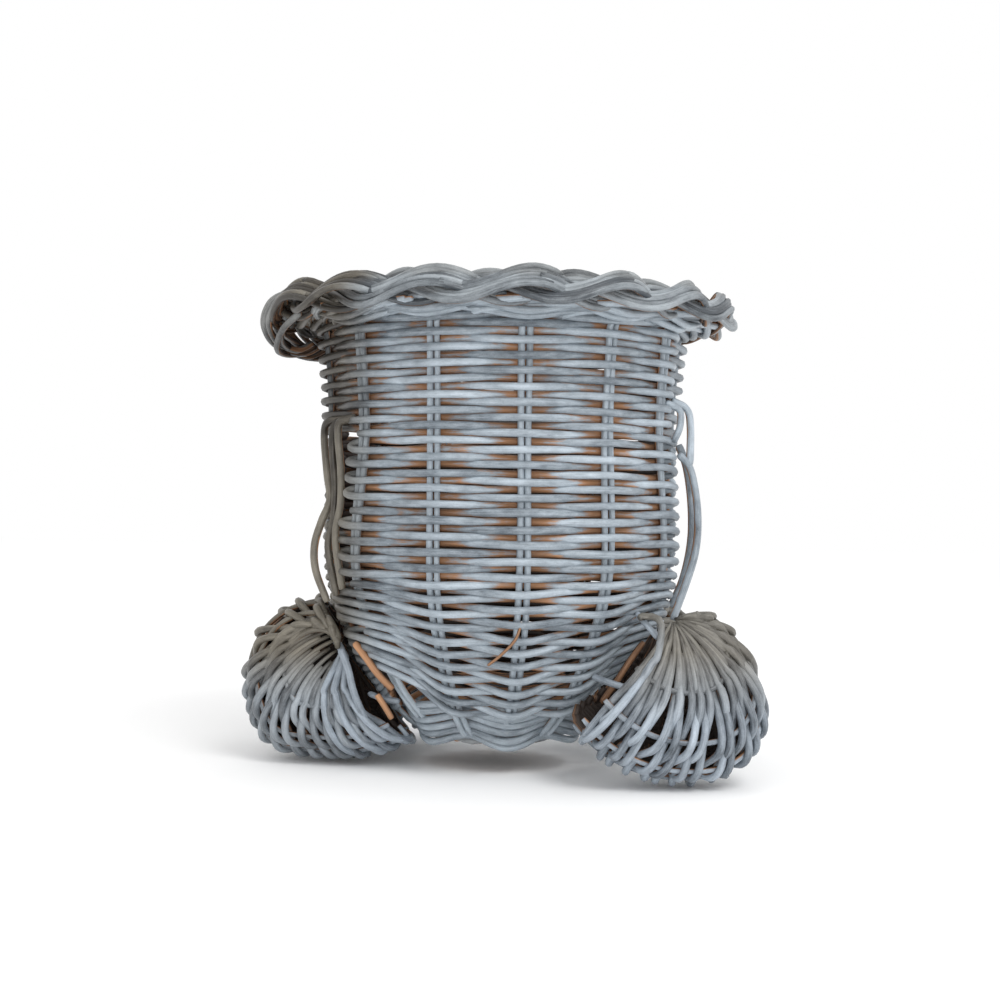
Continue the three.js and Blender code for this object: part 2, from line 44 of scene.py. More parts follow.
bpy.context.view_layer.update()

Array = np.ndarray
Colour = tuple[float, float, float]
Table = tuple[tuple[float, float], ...]
Place = tuple[float, float, float]
Places = tuple[Place, ...]

# Lengths are in millimetres up to the mesh, angles in degrees from the photographed back towards +X
MM = 0.001
AXIS = np.array([-2.419, -11.396, 0.0])  # the bowl's axis in the frame
UP = np.array([0.0, 0.0, 1.0])
REED = 2.3  # radius of a weaver
STAKE_REED = 1.9  # and of a stake, of which two stand side by side
SWELL = 0.035  # share by which a reed swells and thins along its length
SWELL_LENGTH = 17.0
THICKNESS = 0.025  # share by which reeds differ
SEED = 31

STAKES = 13
BAY = 360 / STAKES
FIRST_STAKE = 7.0
PROFILE = (  # radius and height of the stakes' middle from the base to the rim
    (33, 20.5), (48, 22.5), (61, 33), (76, 51), (90, 76), (100, 99), (105.5, 130),
    (104.8, 204), (108.8, 258), (112.5, 265.5), (119, 268.2), (134, 269.6),
)
PANEL_BOTTOM_Z = 36.0
PANEL_TOP_Z = 198.4
COLLAR_Z = 202.6
RIM_R = 131.0
RIM_Z = 276.4
GROUND = 0.0

SWING = 3.8  # of a weaver to either side of the stakes, where they are far apart
SWING_EXTRA = 45.0  # over the radius: a weaver bends more sharply where they are close
CHORD = 1.3  # how far a weaver runs straighter than the circle between stakes
UNEVEN = 0.3  # between rows, as a hand lays them
WEAVE_CLEAR = 5.4 + REED  # from the stakes' middle to the outside of the weave

SPLAY = 4.0  # degrees by which the back panel's stakes stand apart over the belly
SPLAY_AROUND = ((-100, 0), (-48, -0.95), (-21, 0.05), (35, 0.25), (62, 1.45), (100, 0))
SPLAY_HEIGHTS = ((30, 0), (95, 0.9), (125, 1), (150, 0.8), (200, 0))

BROWN_X = -66.0  # the paint turns brown from here to the left
BROWN_WIDTH = 26.0
BROWN_MOST = 0.95


class Slot(Enum):
    """The record's material slots."""

    PAINTED = "painted_reed"
    FOOT = "foot_reed"
    BARE = "bare_reed"


def srgb(red: int, green: int, blue: int) -> Colour:
    """Turns a display colour into scene light.

    Args:
        red: Red, 0 to 255.
        green: Green, 0 to 255.
        blue: Blue, 0 to 255.

    Returns:
        The linear red, green and blue.
    """
    share = np.array([red, green, blue]) / 255
    return tuple(np.where(share <= 0.04045, share / 12.92, ((share + 0.055) / 1.055) ** 2.4).tolist())


class Shader:
    """The node tree of a material or a world, and the one place where nodes are made."""

    def __init__(self, block: bpy.types.Material | bpy.types.World) -> None:
        """Starts with no nodes.

        Args:
            block: The material or world.
        """
        self.block = block
        block.use_nodes = True
        self.tree = block.node_tree
        self.tree.nodes.clear()

    def node(self, kind: str, settings: dict | None = None, inputs: dict | None = None) -> bpy.types.Node:
        """Makes a node.

        Args:
            kind: The node's type name.
            settings: Its properties by name.
            inputs: Values, sockets or signals by input name or number.

        Returns:
            The node.
        """
        made = self.tree.nodes.new(kind)
        for name, value in (settings or {}).items():
            setattr(made, name, value)
        for name, value in (inputs or {}).items():
            socket = made.inputs[name]
            source = value.socket if isinstance(value, (Signal, Tint)) else value
            if isinstance(source, bpy.types.NodeSocket):
                self.tree.links.new(source, socket)
            else:
                socket.default_value = source
        return made

    def surface(self, kind: str, inputs: dict) -> None:
        """Makes the shading node and joins it to the output.

        Args:
            kind: The shading node's type name.
            inputs: Its values, sockets or signals.
        """
        shading = self.node(kind, inputs=inputs)
        world = isinstance(self.block, bpy.types.World)
        output = "ShaderNodeOutputWorld" if world else "ShaderNodeOutputMaterial"
        self.node(output, inputs={"Surface": shading.outputs[0]})

    def attribute(self, name: str) -> list["Signal"]:
        """Reads a three-part attribute of the mesh.

        Args:
            name: The attribute's name.

        Returns:
            Its three parts.
        """
        read = self.node("ShaderNodeAttribute", {"attribute_name": name})
        parts = self.node("ShaderNodeSeparateXYZ", inputs={"Vector": read.outputs["Vector"]})
        return [Signal(self, part) for part in parts.outputs]


@dataclass(frozen=True)
class Signal:
    """A number socket that shader maths is written with."""

    shader: Shader
    socket: bpy.types.NodeSocket

    def _math(self, operation: str, *values: "Signal | float") -> "Signal":
        """Makes a maths node.

        Args:
            operation: The node's operation.
            values: Its inputs in order.

        Returns:
            Its result.
        """
        made = self.shader.node("ShaderNodeMath", {"operation": operation}, dict(enumerate(values)))
        return Signal(self.shader, made.outputs[0])

    def __add__(self, other: "Signal | float") -> "Signal":
        """Adds."""
        return self._math("ADD", self, other)

    __radd__ = __add__

    def __sub__(self, other: "Signal | float") -> "Signal":
        """Subtracts."""
        return self._math("SUBTRACT", self, other)

    def __rsub__(self, other: float) -> "Signal":
        """Subtracts from a number."""
        return self._math("SUBTRACT", other, self)

    def __mul__(self, other: "Signal | float") -> "Signal":
        """Multiplies."""
        return self._math("MULTIPLY", self, other)

    __rmul__ = __mul__

    def step(self, low: float, high: float) -> "Signal":
        """Rises smoothly from 0 to 1.

        Args:
            low: Where the rise starts.
            high: Where it ends.

        Returns:
            The smooth step.
        """
        settings = {"interpolation_type": "SMOOTHSTEP"}
        inputs = {"Value": self, "From Min": low, "From Max": high}
        return Signal(self.shader, self.shader.node("ShaderNodeMapRange", settings, inputs).outputs[0])


@dataclass(frozen=True)
class Tint:
    """A colour socket."""

    socket: bpy.types.NodeSocket

    @classmethod
    def mix(cls, share: Signal, low: "Tint | Colour", high: "Tint | Colour") -> "Tint":
        """Mixes two colours.

        Args:
            share: 0 for the first, 1 for the second.
            low: The first colour.
            high: The second colour.

        Returns:
            The mixed colour.
        """
        first, second = ((*colour, 1.0) if isinstance(colour, tuple) else colour for colour in (low, high))
        settings = {"data_type": "RGBA", "clamp_factor": True}
        made = share.shader.node("ShaderNodeMix", settings, {0: share, 6: first, 7: second})
        return cls(made.outputs[2])


@dataclass(frozen=True)
class Pattern:
    """Soft random values about 0, stretched along a reed."""

    along: float
    across: float
    detail: float

    def read(self, shader: Shader, grain: list[Signal]) -> Signal:
        """Makes the values.

        Args:
            shader: The material's nodes.
            grain: Length along the reed and the place across it.

        Returns:
            Values about -0.5 to 0.5.
        """
        scales = (self.along, self.across, self.across)
        place = shader.node("ShaderNodeCombineXYZ", inputs={i: grain[i] * scales[i] for i in range(3)})
        inputs = {"Vector": place.outputs[0], "Scale": 1.0, "Detail": self.detail, "Roughness": 0.6}
        return Signal(shader, shader.node("ShaderNodeTexNoise", inputs=inputs).outputs[0]) - 0.5


FIBRE = Pattern(0.05, 1.6, 3.0)
BLOTCH = Pattern(0.09, 0.25, 3.0)
SPECK = Pattern(1.2, 1.5, 2.0)


@dataclass(frozen=True)
class ReedFinish:
    """Paint sprayed over round reed, thin or missing where the spray did not reach, over bare reed that is
    painted darker where it lies hidden or faces in: painted shade.
    """

    name: str
    slot: Slot
    paint_dark: Colour
    paint_light: Colour
    warm_dark: Colour = srgb(50, 45, 38)
    warm_light: Colour = srgb(130, 124, 112)
    # bare reed from its dark end, reached in painted shade, to its light end
    bare_dark: Colour = srgb(36, 25, 18)
    bare_light: Colour = srgb(202, 150, 110)
    cover: float = 0.0
    # shifts the painted shade of bare reed; below 0 it is darker
    bare_shade: float = 0.0
    coat: tuple[float, float] = (0.36, 0.56)  # paint at which bare reed ends and a full coat starts
    roughness: float = 0.42
    bare_roughness: float = 0.66
    shine: float = 0.45
    relief: float = 0.0004  # in metres

    def build(self) -> bpy.types.Material:
        """Makes the material.

        Returns:
            The material.
        """
        shader = Shader(bpy.data.materials.new(self.name))
        grain = shader.attribute("grain")
        paint, tone, warm = shader.attribute("state")
        fibre, blotch, speck = (pattern.read(shader, grain) for pattern in (FIBRE, BLOTCH, SPECK))
        mask = (paint + self.cover + 0.55 * blotch + 0.4 * fibre).step(*self.coat)
        # tone carries the painted shade of the bowl's upper left
        light = 0.52 + 0.6 * (tone - 0.5) + 1.1 * blotch + 0.7 * fibre + 0.35 * speck
        cool = Tint.mix(light, self.paint_dark, self.paint_light)
        brown = Tint.mix(light, self.warm_dark, self.warm_light)
        # bare reed is painted darker where less paint reached it, on hidden and inward-facing parts: painted
        # shade of recesses and the inside, with grain and tone on top
        bare_shade = 0.14 + 1.25 * (paint + self.bare_shade) + 0.7 * fibre + 0.4 * (tone - 0.5)
        bare = Tint.mix(bare_shade, self.bare_dark, self.bare_light)
        height = fibre * 0.5 + speck * 0.3 + mask * 0.25
        raised = {"Height": height, "Strength": 0.35, "Distance": self.relief}
        bump = shader.node("ShaderNodeBump", inputs=raised)
        shader.surface("ShaderNodeBsdfPrincipled", {
            "Base Color": Tint.mix(mask, bare, Tint.mix(warm, cool, brown)),
            "Roughness": self.bare_roughness - mask * (self.bare_roughness - self.roughness) + 0.2 * blotch,
            "Normal": bump.outputs[0],
            "Specular IOR Level": self.shine,
        })
        return shader.block


BODY_FINISH = ReedFinish("painted_reed_finish", Slot.PAINTED, srgb(72, 80, 88), srgb(179, 190, 199))
FOOT_FINISH = ReedFinish("foot_reed_finish", Slot.FOOT, srgb(60, 66, 73), srgb(176, 187, 198), cover=0.15)
BARE_FINISH = ReedFinish("bare_reed_finish", Slot.BARE, srgb(104, 108, 110), srgb(160, 163, 165),
                         cover=-0.75, bare_shade=-0.1)


def unit(vectors: Array) -> Array:
    """Scales vectors to length one.

    Args:
        vectors: The vectors.

    Returns:
        The unit vectors.
    """
    return vectors / np.maximum(np.linalg.norm(vectors, axis=-1, keepdims=True), 1e-9)


def ramp(value: Array | float, table: Table) -> Array:
    """Reads a broken line.

    Args:
        value: Where it is read.
        table: Places and the values there.

    Returns:
        The values between.
    """
    return np.interp(value, *np.array(table, float).T)


def rise(value: Array | float, start: float, width: float) -> Array:
    """Rises straight from 0 to 1.

    Args:
        value: Where it is read.
        start: Where the rise starts.
        width: How wide it is. Below 0 the rise goes the other way.

    Returns:
        Shares from 0 to 1.
    """
    return np.clip((value - start) / width, 0, 1)


def polar(degrees: Array, radius: Array, height: Array) -> Array:
    """Places points round the bowl's axis.

    Args:
        degrees: Angles from the back towards +X.
        radius: Distances from the axis.
        height: Heights.

    Returns:
        The points.
    """
    angle = np.radians(degrees)
    flat = [radius * np.sin(angle), -radius * np.cos(angle), height + 0 * angle]
    return np.stack(np.broadcast_arrays(*flat), axis=-1)


def smooth(points: Array, steps: int = 8) -> Array:
    """Draws a smooth line through points.

    Args:
        points: The points, or numbers side by side.
        steps: Steps from each point to the next.

    Returns:
        The line's points.
    """
    points = np.asarray(points, float)
    first, last = 2 * points[0] - points[1], 2 * points[-1] - points[-2]
    padded = np.concatenate([[first], points, [last]])[:, None]
    p0, p1, p2, p3 = padded[:-3], padded[1:-2], padded[2:-1], padded[3:]
    t = np.linspace(0, 1, steps, endpoint=False)[None, :, None]
    square, cube = 2 * p0 - 5 * p1 + 4 * p2 - p3, 3 * p1 - p0 - 3 * p2 + p3
    line = 0.5 * (2 * p1 + (p2 - p0) * t + square * t**2 + cube * t**3)
    return np.concatenate([line.reshape(-1, points.shape[1]), points[-1:]])


def outward(points: Array) -> Array:
    """Finds the level way out from the axis.

    Args:
        points: Points round the axis.

    Returns:
        Unit vectors.
    """
    return unit(points * [1, 1, 0])


def brownness(points: Array) -> Array:
    """Tells how brown the paint is, which it is on the left.

    Args:
        points: Points round the axis.

    Returns:
        Shares from 0 to 1.
    """
    return rise(points[:, 0], BROWN_X, -BROWN_WIDTH) * BROWN_MOST


@dataclass(frozen=True)
class Spray:
    """How much paint reached a reed and how light it is, with painted shade on hidden and inward-facing reed
    and on the bowl's upper left.
    """

    level: float = 0.58
    front: float = 0.3  # more where the skin faces out, which also paints bare reed lighter there
    back: float = 0.7  # and less where it faces in, which also paints bare reed dark there: painted shade of the inside
    proud: float = 0.55  # more where the reed lies proud and less where it lies hidden, which also paints hidden bare reed dark: painted shade of recesses
    high: float = 0.1  # by how much that differs less near the rim
    high_z: float = 195.0
    high_rise: float = 30.0
    knot: float = 70.0  # length over which a reed changes its tone
    painted_shade_x: float = -62.0  # painted shade: the left side is darker from here
    painted_shade_width: float = 36.0
    painted_shade_heights: Table = ((100, 0), (190, 0.3), (204, 1), (258, 1), (268, 0.35))

    def paint(self, towards: Array, shown: Array, height: Array) -> Array:
        """Tells how much paint there is.

        Args:
            towards: 1 where the skin faces out and -1 where it faces in.
            shown: 1 where the reed lies proud and -1 where it lies hidden.
            height: Heights.

        Returns:
            Paint, where about 0.5 covers. Where there is less, bare reed is also painted darker: painted
            shade.
        """
        sprayed = self.front * np.maximum(towards, 0) + self.back * np.minimum(towards, 0)
        proud = self.proud - self.high * rise(height, self.high_z, self.high_rise)
        return self.level + sprayed + proud * shown

    def tone(self, path: Array, length: Array, pale: float, chance: np.random.Generator) -> Array:
        """Tells how light the paint is along a reed: its own tone, less a painted shade on the bowl's upper
        left.

        Args:
            path: The reed's points.
            length: Length along it at each.
            pale: The darkest that its tone may be by itself.
            chance: Where its small differences come from.

        Returns:
            Tones, 1 for the lightest.
        """
        knots = chance.uniform(pale, 1, int(length[-1] / self.knot) + 2)
        # painted shade over the bowl's upper left
        painted_shade = rise(path[:, 0], self.painted_shade_x, -self.painted_shade_width) * ramp(path[:, 2], self.painted_shade_heights)
        return np.interp(length, np.linspace(0, length[-1], len(knots)), knots) - painted_shade


SPRAY = Spray()


@dataclass
class Rod:
    """A length of round reed."""

    path: Array
    facing: Array  # its outward way, one for the whole reed or one for each point
    shown: Array | float = 0.0  # 1 where it lies proud and -1 where it lies hidden
    radius: Array | float = REED
    warm: Array | float = 0.0  # share of brown in its paint
    pale: float = 0.0  # the darkest that its tone may be by itself

    def rings(self, sides: int, chance: np.random.Generator) -> dict[str, Array]:
        """Sweeps the rod.

        Args:
            sides: Corners of its section.
            chance: Where its small differences come from.

        Returns:
            Points, faces and the numbers that its finish reads.
        """
        path, count = self.path, len(self.path)
        facing = np.broadcast_to(self.facing, path.shape)
        along = unit(np.gradient(path, axis=0))
        side = unit(np.cross(along, facing))
        up = np.cross(side, along)
        length = np.concatenate([[0], np.cumsum(np.linalg.norm(np.diff(path, axis=0), axis=1))])
        swell = SWELL * np.sin(length / SWELL_LENGTH + chance.uniform(0, 6))
        radius = self.radius * (1 + swell + chance.normal(0, THICKNESS))
        radius[[0, -1]] *= 0.8
        angle = np.arange(sides) * 2 * math.pi / sides
        normal = np.cos(angle)[None, :, None] * side[:, None] + np.sin(angle)[None, :, None] * up[:, None]
        towards = (normal * unit(facing)[:, None]).sum(-1)
        paint = SPRAY.paint(towards, np.broadcast_to(self.shown, count)[:, None], path[:, 2:])
        tone = SPRAY.tone(path, length, self.pale, chance)[:, None]
        warm = np.broadcast_to(self.warm, count)[:, None]
        start = chance.uniform(0, 4000)
        across, over = radius[:, None] * np.cos(angle), radius[:, None] * np.sin(angle)
        grain = np.stack(np.broadcast_arrays(length[:, None] + start, across, over), -1)
        state = np.stack(np.broadcast_arrays(paint, tone, warm), -1)
        index = np.arange(count * sides).reshape(count, sides)
        low, high = index[:-1], index[1:]
        quads = np.stack([low, np.roll(low, -1, 1), np.roll(high, -1, 1), high], -1)
        return {
            "points": (path[:, None] + radius[:, None, None] * normal).reshape(-1, 3),
            "quads": quads.reshape(-1, 4),
            "ends": [index[0][::-1], index[-1]],
            "grain": grain.reshape(-1, 3),
            "state": state.reshape(-1, 3),
        }


def routed(places: Places, shift: Place, shown: float, reed: float = REED) -> Rod:
    """Bends a reed through places round the axis.

    Args:
        places: Angle, radius and height of the places on its way.
        shift: What is added to each of them.
        shown: How proud it lies.
        reed: Its radius.

    Returns:
        The rod.
    """
    points = polar(*smooth(np.array(places) + shift).T)
    return Rod(points, outward(points), shown, reed, brownness(points))


@dataclass
class Bundle:
    """Rods that make one piece."""

    name: str
    rods: list[Rod]
    finish: ReedFinish
    sides: int = 8

    def build(self, materials: dict[str, bpy.types.Material], nodes: list[str]) -> None:
        """Makes the piece's mesh and hangs it on the frame.

        Args:
            materials: Materials by finish name.
            nodes: The CAD nodes in whose place it stands.
        """
        chance = np.random.default_rng([SEED, sum(map(ord, self.name))])
        swept = [rod.rings(self.sides, chance) for rod in self.rods]
        faces, start = [], 0
        for rod in swept:
            faces.extend((rod["quads"] + start).tolist())
            faces.extend((end + start).tolist() for end in rod["ends"])
            start += len(rod["points"])
        points = np.concatenate([rod["points"] for rod in swept])
        mesh = bpy.data.meshes.new(self.name)
        mesh.from_pydata(((points + AXIS) * MM).tolist(), [], faces)
        for name in ("grain", "state"):
            values = np.concatenate([rod[name] for rod in swept]).astype(np.float32)
            mesh.attributes.new(name, "FLOAT_VECTOR", "POINT").data.foreach_set("vector", values.ravel())
        mesh.shade_smooth()
        mesh.materials.append(materials[self.finish.name])
        piece = bpy.data.objects.new(self.name, mesh)
        bpy.context.scene.collection.objects.link(piece)
        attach(piece, "root")
        if nodes:
            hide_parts(*nodes)
        counts = len(self.rods), len(faces)
        LOG.info("%s: %d rods, %d faces, stands for %s", self.name, *counts, ", ".join(nodes))


class Wall:
    """The bowl's profile through the stakes' middle, walked along its length."""

    def __init__(self, profile: Table) -> None:
        """Measures the profile.

        Args:
            profile: Radius and height from the base to the rim.
        """
        self.line = smooth(profile, 12)
        steps = np.linalg.norm(np.diff(self.line, axis=0), axis=1)
        self.lengths = np.concatenate([[0], np.cumsum(steps)])
        self.length = self.lengths[-1]
        along = unit(np.gradient(self.line, axis=0))
        self.out = np.stack([along[:, 1], -along[:, 0]], 1)

    def at_height(self, height: Array | float) -> Array:
        """Finds the length along the profile at a height."""
        return np.interp(height, self.line[:, 1], self.lengths)

    def read(self, place: Array) -> tuple[Array, Array, Array, Array]:
        """Reads the profile.

        Args:
            place: Length along the profile.

        Returns:
            Radius, height and the outward direction's two parts.
        """
        return tuple(np.interp(place, self.lengths, column) for column in (*self.line.T, *self.out.T))

    def points(self, degrees: Array, place: Array, out: Array) -> Array:
        """Places points on or off the wall.

        Args:
            degrees: Angles.
            place: Lengths along the profile.
            out: Distances outward.

        Returns:
            The points.
        """
        radius, height, out_r, out_z = self.read(place)
        around = (degrees + 180) % 360 - 180
        splay = SPLAY * ramp(around, SPLAY_AROUND) * ramp(height, SPLAY_HEIGHTS)
        return polar(degrees + splay, radius + out * out_r, height + out * out_z)

    def facing(self, points: Array, place: Array) -> Array:
        """Finds which way is out.

        Args:
            points: Points near the wall.
            place: Their lengths along the profile.

        Returns:
            Unit vectors.
        """
        _, _, out_r, out_z = self.read(place)
        return unit(outward(points) * out_r[:, None] + out_z[:, None] * UP)

    def swing(self, place: Array) -> Array:
        """Tells how far a weaver bends off the stakes' middle at lengths along the profile."""
        return SWING + SWING_EXTRA / np.maximum(self.read(place)[0], 30)

    def free_radius(self, height: Array) -> Array:
        """Finds how near the axis a reed may come outside the weave.

        Args:
            height: Heights.

        Returns:
            The least radius at each.
        """
        outside = self.line + self.out * WEAVE_CLEAR
        below = outside[outside[:, 1] < COLLAR_Z + 60]
        return np.interp(height, below[:, 1], below[:, 0])

    def weave(self, controls: Array) -> Rod:
        """Bends a weaver through places on the wall.

        Args:
            controls: Angle, length along the profile and distance out at each place.

        Returns:
            The rod.
        """
        points = smooth(self.points(*controls.T), 4)
        place, out = smooth(controls[:, 1:], 4).T
        return Rod(points, self.facing(points, place), out / self.swing(place), warm=brownness(points))


WALL = Wall(PROFILE)


@dataclass(frozen=True)
class Stakes:
    """Pairs of upright rods that start at the base and lean over to the rim."""

    lean_start: float = 262.0
    lean: float = 26.0
    spacing: float = 2.1
    wander: float = 0.35

    def rods(self) -> list[Rod]:
        """Makes every pair.

        Returns:
            The rods.
        """
        made = []
        place = np.linspace(0, WALL.length, 70)
        start = WALL.at_height(self.lean_start)
        leaned = self.lean * rise(place, start, WALL.length - start) ** 1.3
        radius = WALL.read(place)[0]
        chance = np.random.default_rng(SEED)
        for index in range(STAKES):
            for side in (-1, 1):
                aside = side * self.spacing + self.wander * np.sin(place / 23 + chance.uniform(0, 6))
                degrees = FIRST_STAKE + index * BAY + leaned + np.degrees(aside / radius)
                points = WALL.points(degrees, place, 0.3 * np.sin(place / 31 + chance.uniform(0, 6)))
                facing = WALL.facing(points, place)
                made.append(Rod(points, facing, 0.35, STAKE_REED, brownness(points) * 0.6, 0.7))
        return made


@dataclass(frozen=True)
class Collar:
    """Reed wound round and round under the rim, over one stake and under the next."""

    rows: int = 19
    pitch: float = 4.35
    lengths: int = 2
    first: int = -4  # the stake behind which the first length starts

    def rods(self) -> list[Rod]:
        """Makes the reeds.

        Returns:
            The rods.
        """
        chance = np.random.default_rng([SEED, self.rows])
        ends = [2 * round(self.rows * STAKES * part / self.lengths / 2) for part in range(self.lengths + 1)]
        made = []
        for low, high in zip(ends, ends[1:]):
            step = np.arange(2 * low, 2 * high + 1) / 2 + self.first
            wound = WALL.at_height(COLLAR_Z) + step / STAKES * self.pitch
            place = wound + chance.normal(0, UNEVEN, len(step))
            out = -WALL.swing(place) * np.cos(math.pi * step) * chance.uniform(0.92, 1.05, len(step))
            out -= CHORD * np.sin(math.pi * step) ** 2
            made.append(WALL.weave(np.stack([FIRST_STAKE + step * BAY, place, out], 1)))
        return made


@dataclass(frozen=True)
class BottomRounds:
    """Reeds laid side by side that go over and under the stakes together, low on the bowl."""

    rows: int = 6
    radius: float = 50.0
    level: float = 18.8
    step_out: float = 2.7
    step_up: float = 4.5
    sway: float = 3.2
    sway_loss: float = 0.06  # share by which each next row sways less
    wander: float = 0.5
    sway_out: float = 0.7
    sway_down: float = 0.9
    facing_z: float = -0.6
    far_rise: float = 5.0  # of the rounds on the far side

    def rods(self) -> list[Rod]:
        """Makes the reeds.

        Returns:
            The rods.
        """
        step = np.arange(-STAKES * 4, STAKES * 4 + 1) / 8
        degrees = FIRST_STAKE + step * BAY
        far = self.far_rise * np.sin(np.radians(degrees) / 2) ** 2
        made = []
        for row in range(self.rows):
            sway = self.sway * (1 - self.sway_loss * row) * np.cos(math.pi * step)
            sway = sway + self.wander * np.sin(step * 1.9 + row * 2)
            radius = self.radius + self.step_out * row + self.sway_out * sway
            points = polar(degrees, radius, self.level + far + self.step_up * row - self.sway_down * sway)
            facing = unit(outward(points) + [0, 0, self.facing_z])
            made.append(Rod(points, facing, 0.5, REED, brownness(points), 0.3))
        return made


@dataclass(frozen=True)
class Panel:
    """Reeds that go to and fro over part of the stakes and turn back at the end ones."""

    first: int
    stakes: int
    rows: int
    lengths: int
    slack: float  # the loosest that a turn is by chance
    crowd: float = 1.0  # power by which the rows stand closer low down
    pull: float = 0.0  # of the rows' ends inward
    sag: float = 0.0  # how much closer the hanging rows lie at the edges
    sag_top: float = 118.0
    proud: float = 0.0  # of the turns off the stakes' middle
    left: float = 0.0  # reach of the left turns over the belly
    left_heights: tuple[float, float] = (42.0, 128.0)
    right: float = 0.0
    stray: int = -1  # a row that turns far out
    stray_reach: float = 33.0
    turn_reach: float = 6.8  # from the end pair's middle to the middle of the closest turn

    def place(self, row: float, across: float) -> float:
        """Finds where a row crosses the panel.

        Args:
            row: The row, counted from the lowest.
            across: From -1 at the left edge to 1 at the right.

        Returns:
            The length along the profile.
        """
        low, high = WALL.at_height(PANEL_BOTTOM_Z), WALL.at_height(PANEL_TOP_Z)
        place = low + (high - low) * (row / (self.rows - 1)) ** self.crowd
        return place - self.sag * min(0.0, place - WALL.at_height(self.sag_top)) * abs(across) ** 2.2

    def turn(self, row: int, place: float, chance: np.random.Generator) -> list[float]:
        """Turns a reed back round the end pair.

        Args:
            row: The row that ends there.
            place: Its length along the profile.
            chance: Where its small differences come from.

        Returns:
            Angle, length along the profile and distance out.
        """
        side = -1 if row % 2 else 1
        reach = chance.uniform(0, 1) ** 2 * self.slack
        if side > 0:
            reach += self.right
        else:
            low, high = map(WALL.at_height, self.left_heights)
            reach += self.left * min(rise(place, high, -20), rise(place, low, 12))
        if row == self.stray:
            reach = self.stray_reach
        pair = self.first + (self.stakes - 1 if side > 0 else 0)
        aside = math.degrees((self.turn_reach + reach) / WALL.read(place)[0])
        middle = (self.place(row, side) + self.place(row + 1, side)) / 2
        return [FIRST_STAKE + pair * BAY + side * aside, middle, self.proud]

    def rods(self) -> list[Rod]:
        """Makes the reeds.

        Returns:
            The rods.
        """
        chance = np.random.default_rng([SEED, self.stakes])
        made, end = [], self.stakes - 1
        ends = [round(self.rows * part / self.lengths) for part in range(self.lengths + 1)]
        for low, high in zip(ends, ends[1:]):
            controls = []
            for row in range(low, high):
                lift = chance.normal(0, UNEVEN)
                for half in range(2 * end + 1):
                    step = end - half / 2 if row % 2 else half / 2
                    across = 2 * step / end - 1
                    place = self.place(row, across) + lift + chance.normal(0, UNEVEN)
                    out = -WALL.swing(place) * math.cos(math.pi * (row + step)) * chance.uniform(0.92, 1.05)
                    out -= CHORD * math.sin(math.pi * step) ** 2 + self.pull * abs(across) ** 8
                    controls.append([FIRST_STAKE + (self.first + step) * BAY, place, out])
                if row < high - 1:
                    controls.append(self.turn(row, place, chance))
            made.append(WALL.weave(np.array(controls)))
        return made


BACK_PANEL = Panel(
    first=-2, stakes=5, rows=40, lengths=4, slack=6.0, sag=0.36, proud=3.5, left=25.0, right=9.0, stray=25,
)
FRONT_PANEL = Panel(first=3, stakes=8, rows=64, lengths=3, slack=2.0, crowd=1.2, pull=3.0)


